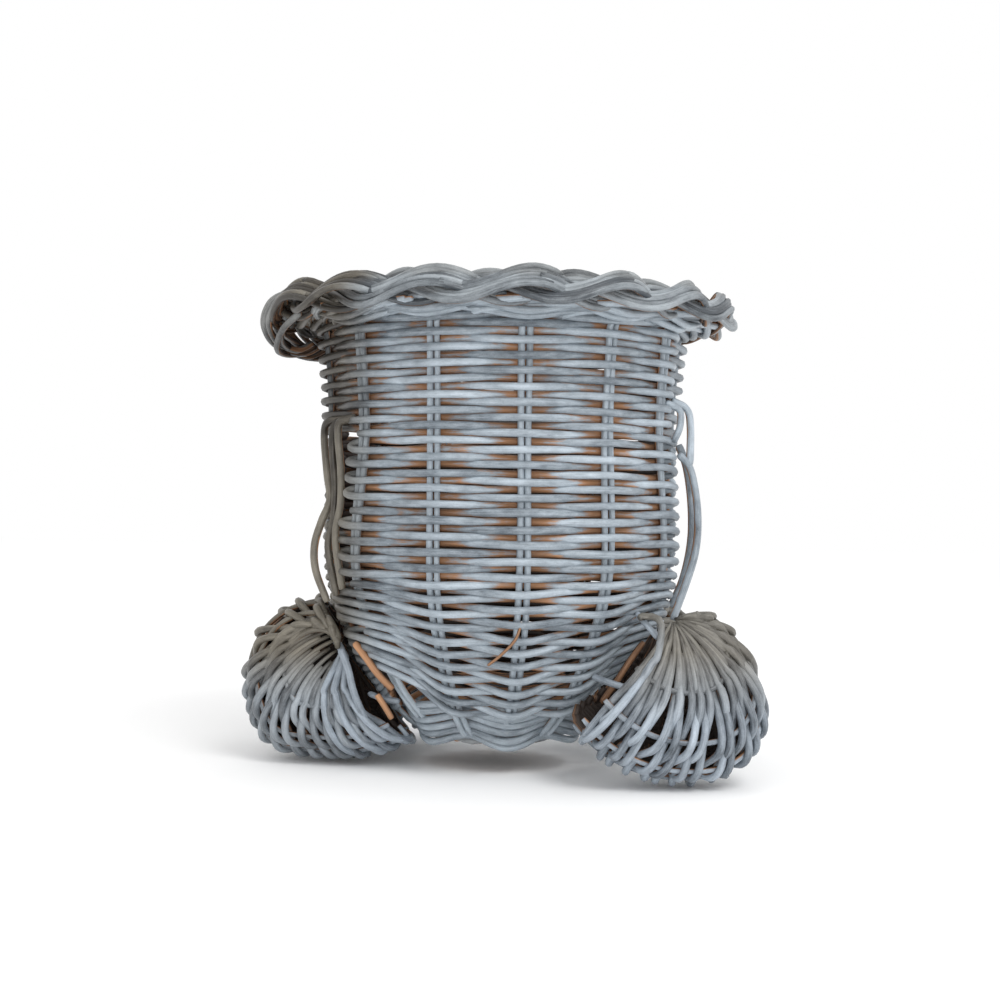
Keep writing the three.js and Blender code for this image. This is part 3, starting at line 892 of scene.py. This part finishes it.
@dataclass(frozen=True)
class Border:
    """The plaited rim: each bundle arcs over the next two and tucks under."""

    bundles: int = 16
    reeds: int = 5
    reed: float = 1.95
    half_width: float = 9.0
    half_height: float = 5.0
    over: int = 3  # bundle steps in one whole wave of the plait
    reach: float = 3.35  # how many of them a reed runs
    close: float = 0.72  # share of a bundle's width that is left at the plait's edges
    flare: float = 0.3  # and what comes on top of it across the middle
    above: float = 0.6  # share of a reed's shift within its bundle that goes up
    inside: float = 0.5  # and inward
    uneven: float = 0.4
    tail: Places = ((0, 106, 262), (5, 112, 266), (14, 118, 267.5), (27, 124, 269), (40, 128, 272))
    wraps: int = 11
    wrap_step: float = 4.2
    loop_shifts: tuple[float, ...] = (0.0, 3.4, 6.8)

    def rods(self) -> list[Rod]:
        """Makes the whole border.

        Returns:
            The rods.
        """
        chance = np.random.default_rng([SEED, 7])
        order = [(index, reed) for index in range(self.bundles) for reed in range(self.reeds)]
        plait = [self.plaited(index, reed, chance) for index, reed in order]
        return plait + self.tails(chance) + self.end_loop() + self.end_wraps(chance)

    def plaited(self, index: int, reed: int, chance: np.random.Generator) -> Rod:
        """Makes a reed of the plait.

        Args:
            index: Its bundle.
            reed: Its place in the bundle.
            chance: Where its small differences come from.

        Returns:
            The rod.
        """
        aside = (reed - (self.reeds - 1) / 2) * 2 * self.reed
        wave = np.linspace(0.02, self.reach / self.over + chance.uniform(-0.04, 0.04), 44) * 2 * math.pi
        turn = FIRST_STAKE + (index + wave / (2 * math.pi) * self.over) * 360 / self.bundles
        phase = wave + math.pi * 0.75
        spread = self.close + self.flare * np.abs(np.cos(phase))
        shift = aside * spread + 0.5 * np.sin(wave * 1.3 + chance.uniform(0, 6))
        height = RIM_Z - self.half_height * np.sin(2 * phase) + shift * self.above
        height += chance.normal(0, self.uneven)
        radius = RIM_R + self.half_width * np.sin(phase) - shift * self.inside
        radius += chance.normal(0, self.uneven)
        points = polar(turn, radius, height)
        warm = np.clip(brownness(points) + 0.5 * rise(points[:, 2], RIM_Z, 6), 0.3, 1)
        facing = unit(outward(points) + [0, 0, 0.5])
        return Rod(points, facing, np.sin(phase) * 0.5 + 0.35, self.reed, warm, -0.6)

    def tails(self, chance: np.random.Generator) -> list[Rod]:
        """Makes the reeds that leave the stakes under the plait and sweep along it.

        Args:
            chance: Where their small differences come from.

        Returns:
            The rods.
        """
        made = []
        for index in range(3 * STAKES):
            lift = chance.uniform(-1, 1)
            made.append(routed(self.tail, (FIRST_STAKE + index * BAY / 3, lift, lift), 0.5, self.reed))
        return made

    def end_wraps(self, chance: np.random.Generator) -> list[Rod]:
        """Makes the reeds that bunch round the left end.

        Args:
            chance: Where their small differences come from.

        Returns:
            The rods.
        """
        made = []
        for index in range(self.wraps):
            turn = index * self.wrap_step + chance.uniform(-1, 1)
            far = 5.5 * math.sin(math.pi * (index + 2) / (self.wraps + 2)) + chance.uniform(-1.5, 1.5)
            places = (
                (-52, 124, 277), (-60, 132 + far * 0.6, 281), (-69, 138 + far, 277), (-77, 141 + far, 266),
                (-85, 136 + far, 256), (-91, 128, 252), (-95, 119, 257),
            )
            wrap = routed(places, (-turn, 0, chance.uniform(-1.5, 1.5)), 0.5, self.reed)
            wrap.warm = np.minimum(wrap.warm, 0.7)
            made.append(wrap)
        return made

    def end_loop(self) -> list[Rod]:
        """Makes the slack loop that hangs from the left end.

        Returns:
            The rods.
        """
        made = []
        for shift in self.loop_shifts:
            places = (
                (-62, 133, 268), (-72, 137, 260), (-82, 138 - shift, 251 + shift),
                (-94, 133 - shift, 250 + shift), (-106, 126, 255), (-116, 120, 262),
            )
            loop = routed(places, (0, 0, 0), 0.6, self.reed)
            loop.warm = 0.7
            made.append(loop)
        return made


@dataclass(frozen=True)
class BentRod:
    """A rod bent through places between a foot and the bowl."""

    radius: float
    shown: float
    places: Places

    def rod(self, face: Array) -> Rod:
        """Makes the rod.

        Args:
            face: The way that its foot looks.

        Returns:
            The rod.
        """
        return Rod(smooth(self.places), face, self.shown, self.radius)

    def mirrored(self, width: float) -> "BentRod":
        """Carries the rod to the far side.

        Args:
            width: 1 to keep its side, or -1 to change it.

        Returns:
            The rod there.
        """
        return BentRod(self.radius, self.shown, tuple((x * width, -y, z) for x, y, z in self.places))


@dataclass(frozen=True)
class Foot:
    """A fan of strands woven over hoops and puffed out from its hinge."""

    name: str
    hinge: Place
    turn: float  # of its face from the back towards +X
    tilt: float  # of its face upward
    side: int  # 1 where its outward side is on the right for one who looks at its face, or -1
    outline: Table  # degrees from outward towards up, and the reach from the hinge
    puff: float
    frame: tuple[BentRod, ...]
    ties: tuple[BentRod, ...] = ()
    strands: int = 38
    ends: Table = ((0.0, -134.0), (0.8, -12.0), (1.0, 70.0))  # share of the strands, angle at the sole
    leaves: Table = ((0.0, -112.0), (0.35, -30.0), (0.8, 75.0), (1.0, 125.0))  # and at the hinge
    climb: float = 0.0  # of the upper strands' start along the bowl
    gathered: int = 1  # reeds that bend into the fan from the bowl
    hoops: tuple[float, ...] = (30.0, 54.0, 76.0, 97.0, 119.0, 145.0)  # degrees from the face's hinge
    hoop_lift: float = -2.6
    back_hoops: tuple[float, float, float] = (93.0, 168.0, 3.2)  # first, last and the step between
    back_hoop_lift: float = -4.8
    swing: float = 3.1  # of a strand to either side of the hoops
    starts: tuple[float, ...] = (2.0, 14.0, 5.0, 10.0)  # degrees off the hinge, for strands in turn
    wander: float = 1.4
    uneven: float = 0.6
    thin: float = 0.42  # share of a strand's radius at the hinges
    thin_reach: float = 55.0  # degrees in which that share grows by one
    hollow: float = 0.35  # share of the puff that is left at the hinges
    clear: float = 2.3  # of the strands' middle off the bowl's weave
    gather_clear: float = 2.6

    def axes(self) -> tuple[Array, Array, Array]:
        """Finds the foot's own axes.

        Returns:
            The way its face looks, its outward side and its upward side.
        """
        turn, tilt = math.radians(self.turn), math.radians(self.tilt)
        level = np.array([math.sin(turn), -math.cos(turn), 0])
        outward_side = np.array([math.cos(turn), math.sin(turn), 0]) * self.side
        face = level * math.cos(tilt) + UP * math.sin(tilt)
        return face, outward_side, UP * math.cos(tilt) - level * math.sin(tilt)

    def reach(self, degrees: Array) -> Array:
        """Reads the outline.

        Args:
            degrees: Angles from outward towards up.

        Returns:
            Reach from the hinge.
        """
        angles, reaches = smooth(self.outline).T
        turned = (degrees - angles[0]) % 360 + angles[0]
        return np.interp(turned, np.append(angles, angles[0] + 360), np.append(reaches, reaches[0]))

    def skin(self, degrees: Array, latitude: Array, lift: Array | float) -> tuple[Array, Array]:
        """Places points on or off the puffed skin.

        Args:
            degrees: Angles round the hinge.
            latitude: 0 at the face's hinge to 180 at the back's.
            lift: Distances outward.

        Returns:
            The points and the way out at each.
        """
        face, outward_side, upward = self.axes()
        angle, t, lift = np.broadcast_arrays(np.radians(degrees), np.radians(latitude), lift)
        way = np.cos(angle)[:, None] * outward_side + np.sin(angle)[:, None] * upward
        thick = self.puff * np.cos(t) * (self.hollow + (1 - self.hollow) * np.sin(t) ** 0.7)
        ridge = unit(way * np.sin(t)[:, None] + face * np.cos(t)[:, None])
        flat = self.reach(np.degrees(angle)) * np.sin(t)
        points = np.array(self.hinge) + way * flat[:, None] + face * thick[:, None]
        return points + ridge * lift[:, None], ridge

    def settle(self, points: Array, gap: float) -> Array:
        """Keeps points off the bowl.

        Args:
            points: The points.
            gap: How far off its weave.

        Returns:
            The moved points.
        """
        least = WALL.free_radius(points[:, 2]) + gap
        grow = np.maximum(1, least / np.maximum(np.linalg.norm(points[:, :2], axis=1), 1))
        return np.stack([points[:, 0] * grow, points[:, 1] * grow, points[:, 2]], 1)

    def flow(self, share: float, latitude: Array) -> Array:
        """Bends a strand from the way it leaves the hinge to its place at the sole.

        Args:
            share: 0 for the strand beside the bowl, 1 for the topmost.
            latitude: Places from the face's hinge to the back's.

        Returns:
            Its angles round the hinge.
        """
        end, leave = ramp(share, self.ends), ramp(share, self.leaves)
        return end + (leave - end) * rise(np.abs(latitude - 90), 0, 90) ** 1.3

    def raised(self, share: float, latitude: Array) -> Array:
        """Lifts a strand's start along the bowl above the hinge.

        Args:
            share: 0 for the strand beside the bowl, 1 for the topmost.
            latitude: Places from the face's hinge to the back's.

        Returns:
            How far each place moves.
        """
        most = self.climb * ramp(share, ((0.3, 0), (0.8, 1), (0.86, 0.4), (1, 0)))
        return self.axes()[2] * (most * rise(np.abs(latitude - 90), 48, 40))[:, None]

    def strand(self, index: int, chance: np.random.Generator) -> Rod:
        """Makes a strand that runs from the face's hinge over the sole to the back's.

        Args:
            index: Its number from the one beside the bowl.
            chance: Where its small differences come from.

        Returns:
            The rod.
        """
        start, share = self.starts[index % len(self.starts)], (index + 0.5) / self.strands
        latitude = np.linspace(start, 180 - start, 72)
        wander = self.wander * np.sin(np.radians(latitude * 3) + chance.uniform(0, 6))
        wander += chance.normal(0, self.uneven)
        hoop = np.interp(latitude, self.hoops, np.arange(len(self.hoops)), left=-0.5)
        wave = np.cos(math.pi * (hoop + index))
        spread = np.clip((latitude - 12) / 26, 0.15, 1)
        lift = self.swing * wave * spread * chance.uniform(0.9, 1.1) + self.hoop_lift
        points, ridge = self.skin(self.flow(share, latitude) + wander, latitude, lift)
        inward = np.minimum(latitude, 180 - latitude)
        radius = REED * np.clip(self.thin + inward / self.thin_reach, self.thin, 1)
        return Rod(points + self.raised(share, latitude), ridge, wave * 0.5, radius)

    def hoop(self, latitude: float, past: float, lift: float, shown: float, radius: float) -> Rod:
        """Makes a hoop under the strands.

        Args:
            latitude: Its place between the hinges.
            past: Degrees by which it starts below the first strand.
            lift: Distance off the skin.
            shown: How proud it lies.
            radius: Its radius.

        Returns:
            The rod.
        """
        low, high = (self.flow(share, latitude) for share in (0.0, 1.0))
        points, ridge = self.skin(np.linspace(low - past, high + 3, 60), latitude, lift)
        return Rod(points, ridge, shown, radius)

    def rods(self) -> list[Rod]:
        """Makes the fan and stands it on the ground.

        Returns:
            The rods.
        """
        chance = np.random.default_rng([SEED, sum(map(ord, self.name))])
        fan = [self.strand(index, chance) for index in range(self.strands)]
        fan += [self.hoop(latitude, 3, self.hoop_lift, -0.3, 1.7) for latitude in self.hoops]
        # the back hoops are left bare, where the spray did not reach, and painted dark: painted shade inside
        # the foot
        fan += [self.hoop(latitude, chance.uniform(2, 9), self.back_hoop_lift, -1.35, 2.2)
                for latitude in np.arange(*self.back_hoops)]
        drop = min((rod.path[:, 2] - rod.radius).min() for rod in fan) - GROUND
        for rod in fan:
            rod.path = self.settle(rod.path - [0, 0, drop], self.clear)
            rod.warm = np.clip(brownness(rod.path) * 0.3 + 0.9 * rise(rod.path[:, 2], 40, 36), 0, 1)
        fan += [self.gather(index, chance) for index in range(self.gathered)]
        return fan + [tie.rod(self.axes()[0]) for tie in self.ties]

    def gather(self, index: int, chance: np.random.Generator) -> Rod:
        """Makes a reed that leaves the bowl and bends into the fan over its hinge.

        Args:
            index: Its number.
            chance: Where its small differences come from.

        Returns:
            The rod.
        """
        hinge = np.array(self.hinge)
        face, outward_side, upward = self.axes()
        inward = hinge - outward_side * (24 - index * 2) + upward * (8 + index * 4) - face * 4
        near = hinge - outward_side * (8 - index) + upward * (3 + index * 2)
        near = near + face * (15 + chance.uniform(-1, 1))
        latitude = np.linspace(16, 84, 14)
        lift = ramp(latitude, ((16, 0.5), (60, 1.5), (84, -1)))
        fanned, _ = self.skin(self.flow(0.02 + 0.09 * index, latitude), latitude, lift)
        points = self.settle(smooth([inward, near, *fanned], 4), self.gather_clear)
        return Rod(points, face, 0.5, 2.2, rise(points[:, 2], 60, 40), 0.5)

    def frame_rods(self) -> list[Rod]:
        """Makes the rods that show between the foot and the bowl.

        Returns:
            The rods.
        """
        return [bent.rod(self.axes()[0]) for bent in self.frame]


LEFT_FRAME = (
    BentRod(2.3, -0.6, ((-84, -50, 76), (-77, -54, 68), (-70, -56, 59), (-61, -56, 50))),
    BentRod(2.0, -0.6, ((-70, -58, 47), (-66, -58, 41), (-61, -58, 33))),
)
LEFT_TIES = (
    BentRod(1.8, 0.6, ((-75.7, -42, 45.4), (-66.5, -54, 44), (-57, -57, 43))),
    BentRod(2.3, 0.6, (
        (-92.8, -46, 72), (-88.5, -46, 61), (-84.6, -46, 46.4), (-78.5, -43, 32), (-70.6, -34, 18.6),
    )),
)
RIGHT_FRAME = (
    BentRod(2.0, -0.95, ((84, -64, 80), (76, -70, 70), (68, -73, 58), (60, -71, 46))),
)
RIGHT_TIES = (
    BentRod(2.0, 0.6, ((55, -74, 61), (63, -84, 59), (79, -93, 55), (93, -97, 50))),
    BentRod(1.9, 0.6, ((80, -66, 97), (85, -73, 91), (91, -78, 84))),
)
FRONT_OUTLINE = (
    (-130, 66), (-96, 70), (-65, 72), (-40, 66), (-14, 53), (14, 38), (60, 22), (113, 13), (196, 20),
)
FEET = (
    Foot(
        "hind_foot_left", hinge=(-92, -8, 66.5), turn=-12, tilt=1, side=-1, puff=48,
        outline=(
            (-132, 67), (-110, 64), (-90, 63), (-70, 67), (-50, 74.5), (-30, 70.5), (-10, 65), (10, 58),
            (30, 50), (50, 42), (75, 33), (110, 20), (150, 13), (196, 26),
        ),
        frame=LEFT_FRAME, ties=LEFT_TIES, strands=34,
        ends=((0.0, -134.0), (0.8, -15.0), (0.86, 25.0), (1.0, 95.0)),
        leaves=((0.0, -112.0), (0.35, -35.0), (0.8, 48.0), (0.86, 62.0), (1.0, 120.0)),
        climb=26.0, gathered=3,
    ),
    Foot(
        "hind_foot_right", hinge=(96, -66, 88), turn=12, tilt=15, side=1, puff=46,
        outline=(
            (-136, 82), (-110, 87), (-90, 90), (-70, 92), (-55, 86), (-40, 71), (-25, 50), (-10, 33), (8, 21),
            (40, 14), (120, 12), (196, 24),
        ),
        frame=RIGHT_FRAME, ties=RIGHT_TIES, strands=32,
        ends=((0.0, -132.0), (0.82, -50.0), (1.0, 2.0)),
        leaves=((0.0, -129.0), (0.3, -82.0), (0.82, -14.0), (1.0, 6.0)),
    ),
    Foot("front_foot_left", hinge=(-86, 66, 72), turn=205, tilt=12, side=1, puff=44, outline=FRONT_OUTLINE,
         frame=tuple(bent.mirrored(-1) for bent in RIGHT_FRAME)),
    Foot("front_foot_right", hinge=(88, 64, 72), turn=155, tilt=12, side=-1, puff=44, outline=FRONT_OUTLINE,
         frame=tuple(bent.mirrored(1) for bent in RIGHT_FRAME)),
)


@dataclass(frozen=True)
class Flank:
    """Upright reeds over the bare gap at a side, each turned to its angle."""

    lines: tuple[tuple[float, Places], ...]
    brown: float = 1.3  # browner than the bowl

    def rods(self) -> list[Rod]:
        """Makes the reeds.

        Returns:
            The rods.
        """
        made = [routed(places, (degrees, 0, 0), 0.6) for degrees, places in self.lines]
        for rod in made:
            rod.warm = np.minimum(self.brown * rod.warm, 1)
        return made


LEFT_FLANK = Flank((
    (-66.0, ((9, 106, 207), (4, 114, 206), (0, 114, 198), (0, 112, 176), (0, 110, 160), (0, 115, 147),
             (0, 119, 133), (0, 118, 118), (2, 112, 100))),
    (-61.5, ((6, 106, 206), (2, 112, 204), (0, 112, 190), (0, 110, 168), (0, 111, 148), (0, 114, 132),
             (2, 110, 104))),
    (-57.5, ((5, 106, 208), (1, 112, 205), (0, 112, 196), (0, 110, 178), (-1, 109, 158), (-1, 112, 138),
             (0, 108, 108))),
))
RIGHT_FLANK = Flank((
    (74.0, ((-4, 108, 222), (-1, 116, 217), (0, 118, 206), (0, 118, 184))),
    (67.5, ((-3, 107, 220), (0, 114, 216), (0, 114.5, 206), (-2, 112, 197))),
    (74.0, ((-2, 112, 190), (0, 118, 182), (0, 122, 165), (1, 123, 148), (0, 122, 132), (-1, 118, 116),
            (-3, 110, 91))),
    (79.0, ((-1, 110, 196), (0, 115, 182), (0, 118, 160), (0, 118, 138), (-1, 114, 116), (-2, 107, 98))),
))


@dataclass(frozen=True)
class Muzzle:
    """The face's woven bulge with its two lips."""

    middle: float = 180.0
    half: float = 44.0
    bottom: float = 120.0
    top: float = 212.0
    bulge: float = 44.0
    rows: int = 20
    ribs: int = 13
    edge: float = 0.95  # share of the half width and height at the outermost rib and row
    gap: float = 1.6  # off the bowl's weave
    rib_lift: float = -1.0
    swing: float = 2.6
    lip_half: float = 0.73
    lip_place: float = 0.1
    lip_curve: float = 0.35
    lip_lift: float = 6.2

    def skin(self, across: Array, up: Array, lift: Array) -> tuple[Array, Array]:
        """Places points on the bulge.

        Args:
            across: Shares of the half width.
            up: Shares of the half height.
            lift: Distances outward.

        Returns:
            The points and the way out at each.
        """
        across, up, lift = np.broadcast_arrays(across, up, lift)
        puff = np.sqrt(np.maximum(0, 1 - across**2 - up**2))
        height = self.bottom + (self.top - self.bottom) * (up + 1) / 2
        radius = WALL.free_radius(height) + self.gap + self.bulge * puff + lift
        points = polar(self.middle + across * self.half, radius, height)
        out = outward(points)
        sideways = np.cross(UP, out) * across[:, None]
        return points, unit(out * (0.35 + puff)[:, None] + sideways + up[:, None] * UP)

    def rods(self) -> list[Rod]:
        """Makes the ribs and the weavers over them.

        Returns:
            The rods.
        """
        made = []
        for across in np.linspace(-self.edge, self.edge, self.ribs):
            up = math.sqrt(1 - across**2) * np.sin(np.radians(np.linspace(-90, 90, 30)))
            points, ridge = self.skin(across, up, self.rib_lift)
            made.append(Rod(points, ridge, -0.2))
        for row in range(self.rows):
            up = self.edge * (2 * (row + 0.5) / self.rows - 1)
            across = math.sqrt(1 - up**2) * np.sin(np.radians(np.linspace(-88, 88, 60)))
            rib = (across / self.edge + 1) / 2 * (self.ribs - 1)
            wave = np.cos(math.pi * (rib + row))
            points, ridge = self.skin(across, up, self.swing * wave)
            made.append(Rod(points, ridge, wave))
        return made

    def lips(self) -> list[Rod]:
        """Makes the two lips.

        Returns:
            The rods.
        """
        across = np.linspace(-self.lip_half, self.lip_half, 40)
        points, ridge = self.skin(across, self.lip_place + self.lip_curve * across**2, self.lip_lift)
        return [Rod(points + [0, 0, up], ridge, 0.8) for up in (REED, -REED)]


@dataclass(frozen=True)
class Eye:
    """A dome coiled from one reed."""

    name: str
    degrees: float
    radius: float = 19.0
    height: float = 22.0
    sink: float = 1.5
    level: float = 237.0
    turns: int = 6

    def rods(self) -> list[Rod]:
        """Makes the coil.

        Returns:
            The rods.
        """
        base = polar(self.degrees, WALL.free_radius(self.level) - self.sink, self.level)
        out = outward(base)
        latitude = np.linspace(0, math.pi / 2, 40 * self.turns)
        angle = np.linspace(0, 2 * math.pi * self.turns, len(latitude))
        ring = np.cos(angle)[:, None] * np.cross(UP, out) + np.sin(angle)[:, None] * UP
        flat, far = np.cos(latitude)[:, None], np.sin(latitude)[:, None]
        points = base + ring * self.radius * flat + out * self.height * far
        return [Rod(points, unit(ring * flat + out * far + 1e-3), 0.5)]


@dataclass(frozen=True)
class Base:
    """The round base: crossed sticks with reed wound round them."""

    radius: float = 41.0
    level: float = 18.4
    sticks: int = 8
    first_stick: float = 5.0
    hub: float = 9.0
    pitch: float = 4.0
    stick_reed: float = 1.5
    wound_reed: float = 1.9
    sway: float = 1.1  # of the wound reed, over one stick's end and under the next

    def rods(self) -> list[Rod]:
        """Makes the base.

        Returns:
            The rods.
        """
        made = []
        for stick in range(self.sticks):
            way = polar(self.first_stick + stick * 180 / self.sticks, 1.0, 0.0)
            line = np.linspace(-self.radius, self.radius, 12)[:, None] * way + [0, 0, self.level]
            made.append(Rod(line, UP, -0.6, self.stick_reed))
        turns = int((self.radius - self.hub) / self.pitch)
        angle = np.linspace(0, 360 * turns, 36 * turns)
        radius = self.hub + (self.radius - self.hub) * angle / angle[-1]
        sway = self.sway * np.cos(np.radians(angle * (self.sticks + 0.5)))
        points = polar(angle, radius, self.level + sway)
        painted = ramp(radius, ((30, -0.8), (38, 2.5)))
        made.append(Rod(points, UP, painted, self.wound_reed))
        return made


@dataclass(frozen=True)
class Splinter:
    """The loose bare splinter on the back."""

    places: Places = ((13.0, 93.4, -4.0), (9.5, 84.0, 0.5), (2.0, 75.5, 1.5), (-5.4, 68.9, 0.0))
    reed: float = 0.9

    def rods(self) -> list[Rod]:
        """Makes it from its places: aside, up and off the weave.

        Returns:
            The rods.
        """
        aside, height, off = smooth(self.places).T
        radius = WALL.free_radius(height) + off
        points = polar(np.degrees(np.arcsin(aside / radius)), radius, height)
        return [Rod(points, outward(points), -1.0, self.reed)]


@dataclass(frozen=True)
class Studio:
    """Floor, light and camera, with places in metres."""

    floor_size: float = 8.0
    floor_white: float = 0.995
    lamps: tuple[tuple[str, Place, float, float], ...] = (
        ("key", (0.7, -1.2, 1.5), 0.8, 13),
        ("fill", (0.1, -1.5, 0.1), 0.5, 4),
    )
    lamp_aim: Place = (0, 0, 0.14)
    lens: float = 55.15
    sensor: float = 36
    shift: float = -0.003
    distance: float = 0.95  # of the camera from the bowl's axis
    eye_level: float = 0.163
    roll: float = 0.8

    def floor(self) -> None:
        """Lays a pale floor."""
        bpy.ops.mesh.primitive_plane_add(size=self.floor_size, location=(0, 0, -0.0005))
        plane = bpy.context.object
        plane.name = "floor"
        shader = Shader(bpy.data.materials.new("floor_white"))
        shader.surface("ShaderNodeBsdfDiffuse", {"Color": (*[self.floor_white] * 3, 1)})
        plane.data.materials.append(shader.block)

    def world(self) -> None:
        """Fills the room with soft white light."""
        world = bpy.data.worlds.new("studio")
        bpy.context.scene.world = world
        Shader(world).surface("ShaderNodeBackground", {"Color": (1, 1, 1, 1)})

    def lamp(self, name: str, place: Place, size: float, watts: float) -> None:
        """Hangs a square lamp that looks at the object.

        Args:
            name: Its name.
            place: Where it hangs.
            size: Its side.
            watts: Its power.
        """
        data = bpy.data.lights.new(name, "AREA")
        data.size, data.energy = size, watts
        lamp = bpy.data.objects.new(name, data)
        bpy.context.scene.collection.objects.link(lamp)
        lamp.location = place
        back = unit(np.array(place) - self.lamp_aim)
        right = unit(np.cross(UP, back))
        lamp.rotation_euler = Matrix(np.stack([right, np.cross(back, right), back], 1).tolist()).to_euler()

    def camera(self) -> None:
        """Sets the camera where the photograph was taken."""
        data = bpy.data.cameras.new("camera")
        data.lens, data.sensor_width, data.shift_y = self.lens, self.sensor, self.shift
        data.clip_start, data.clip_end = 0.01, 50
        camera = bpy.data.objects.new("camera", data)
        bpy.context.scene.collection.objects.link(camera)
        camera.location = (AXIS[0] * MM, AXIS[1] * MM - self.distance, self.eye_level)
        level = Matrix.Rotation(math.pi / 2, 4, "X")
        camera.rotation_euler = (level @ Matrix.Rotation(math.radians(self.roll), 4, "Z")).to_euler()
        bpy.context.scene.camera = camera

    def build(self) -> None:
        """Sets everything up."""
        self.floor()
        self.world()
        for lamp in self.lamps:
            self.lamp(*lamp)
        self.camera()
        bpy.context.scene.view_settings.view_transform = "Standard"


class Frog:
    """The whole planter."""

    def __init__(self) -> None:
        """Makes the finishes."""
        self.materials = {finish.name: finish.build() for finish in (BODY_FINISH, FOOT_FINISH, BARE_FINISH)}
        self.nodes = sorted(frame["nodes"])

    def named(self, start: str) -> list[str]:
        """Finds the CAD nodes whose names start with some letters."""
        return [node for node in self.nodes if node.startswith(start)]

    def bowl(self) -> list[tuple[Bundle, list[str]]]:
        """Gathers the bowl's pieces.

        Returns:
            The pieces, each with the CAD nodes in whose place it stands.
        """
        return [
            (Bundle("base_woven", Base().rods(), BARE_FINISH), ["base"]),
            (Bundle("stakes", Stakes().rods(), BODY_FINISH), self.named("stake_pair")),
            (Bundle("bottom_rounds", BottomRounds().rods(), BODY_FINISH), ["bottom_weave"]),
            (Bundle("back_panel", BACK_PANEL.rods(), BODY_FINISH), self.named("back_panel")),
            (Bundle("front_panel", FRONT_PANEL.rods(), BODY_FINISH), self.named("front_panel")),
            (Bundle("collar", Collar().rods(), BODY_FINISH), self.named("collar")),
            (Bundle("border", Border().rods(), BODY_FINISH), self.named("border")),
            (Bundle("flank_left", LEFT_FLANK.rods(), BODY_FINISH), self.named("flank_reed_left")),
            (Bundle("flank_right", RIGHT_FLANK.rods(), BODY_FINISH), self.named("flank_reed_right")),
            (Bundle("muzzle_woven", Muzzle().rods(), BODY_FINISH), ["muzzle"]),
            (Bundle("lips", Muzzle().lips(), BODY_FINISH), self.named("lip")),
            (Bundle("splinter", Splinter().rods(), BARE_FINISH, sides=6), []),
        ]

    def build(self) -> None:
        """Makes every piece."""
        bundles = self.bowl()
        for foot in FEET:
            bundles.append((Bundle(f"{foot.name}_fan", foot.rods(), FOOT_FINISH), [foot.name]))
            inner = Bundle(f"{foot.name}_frame", foot.frame_rods(), BARE_FINISH)
            bundles.append((inner, [f"{foot.name}_rod"]))
        for eye in (Eye("eye_left", 204.0), Eye("eye_right", 156.0)):
            bundles.append((Bundle(f"{eye.name}_coil", eye.rods(), BODY_FINISH), [eye.name]))
        for bundle, nodes in bundles:
            bundle.build(self.materials, nodes)


def main() -> None:
    """Builds the planter and its studio."""
    logging.basicConfig(level=logging.INFO, format="%(message)s")
    Frog().build()
    Studio().build()


if __name__ == "__main__":
    main()
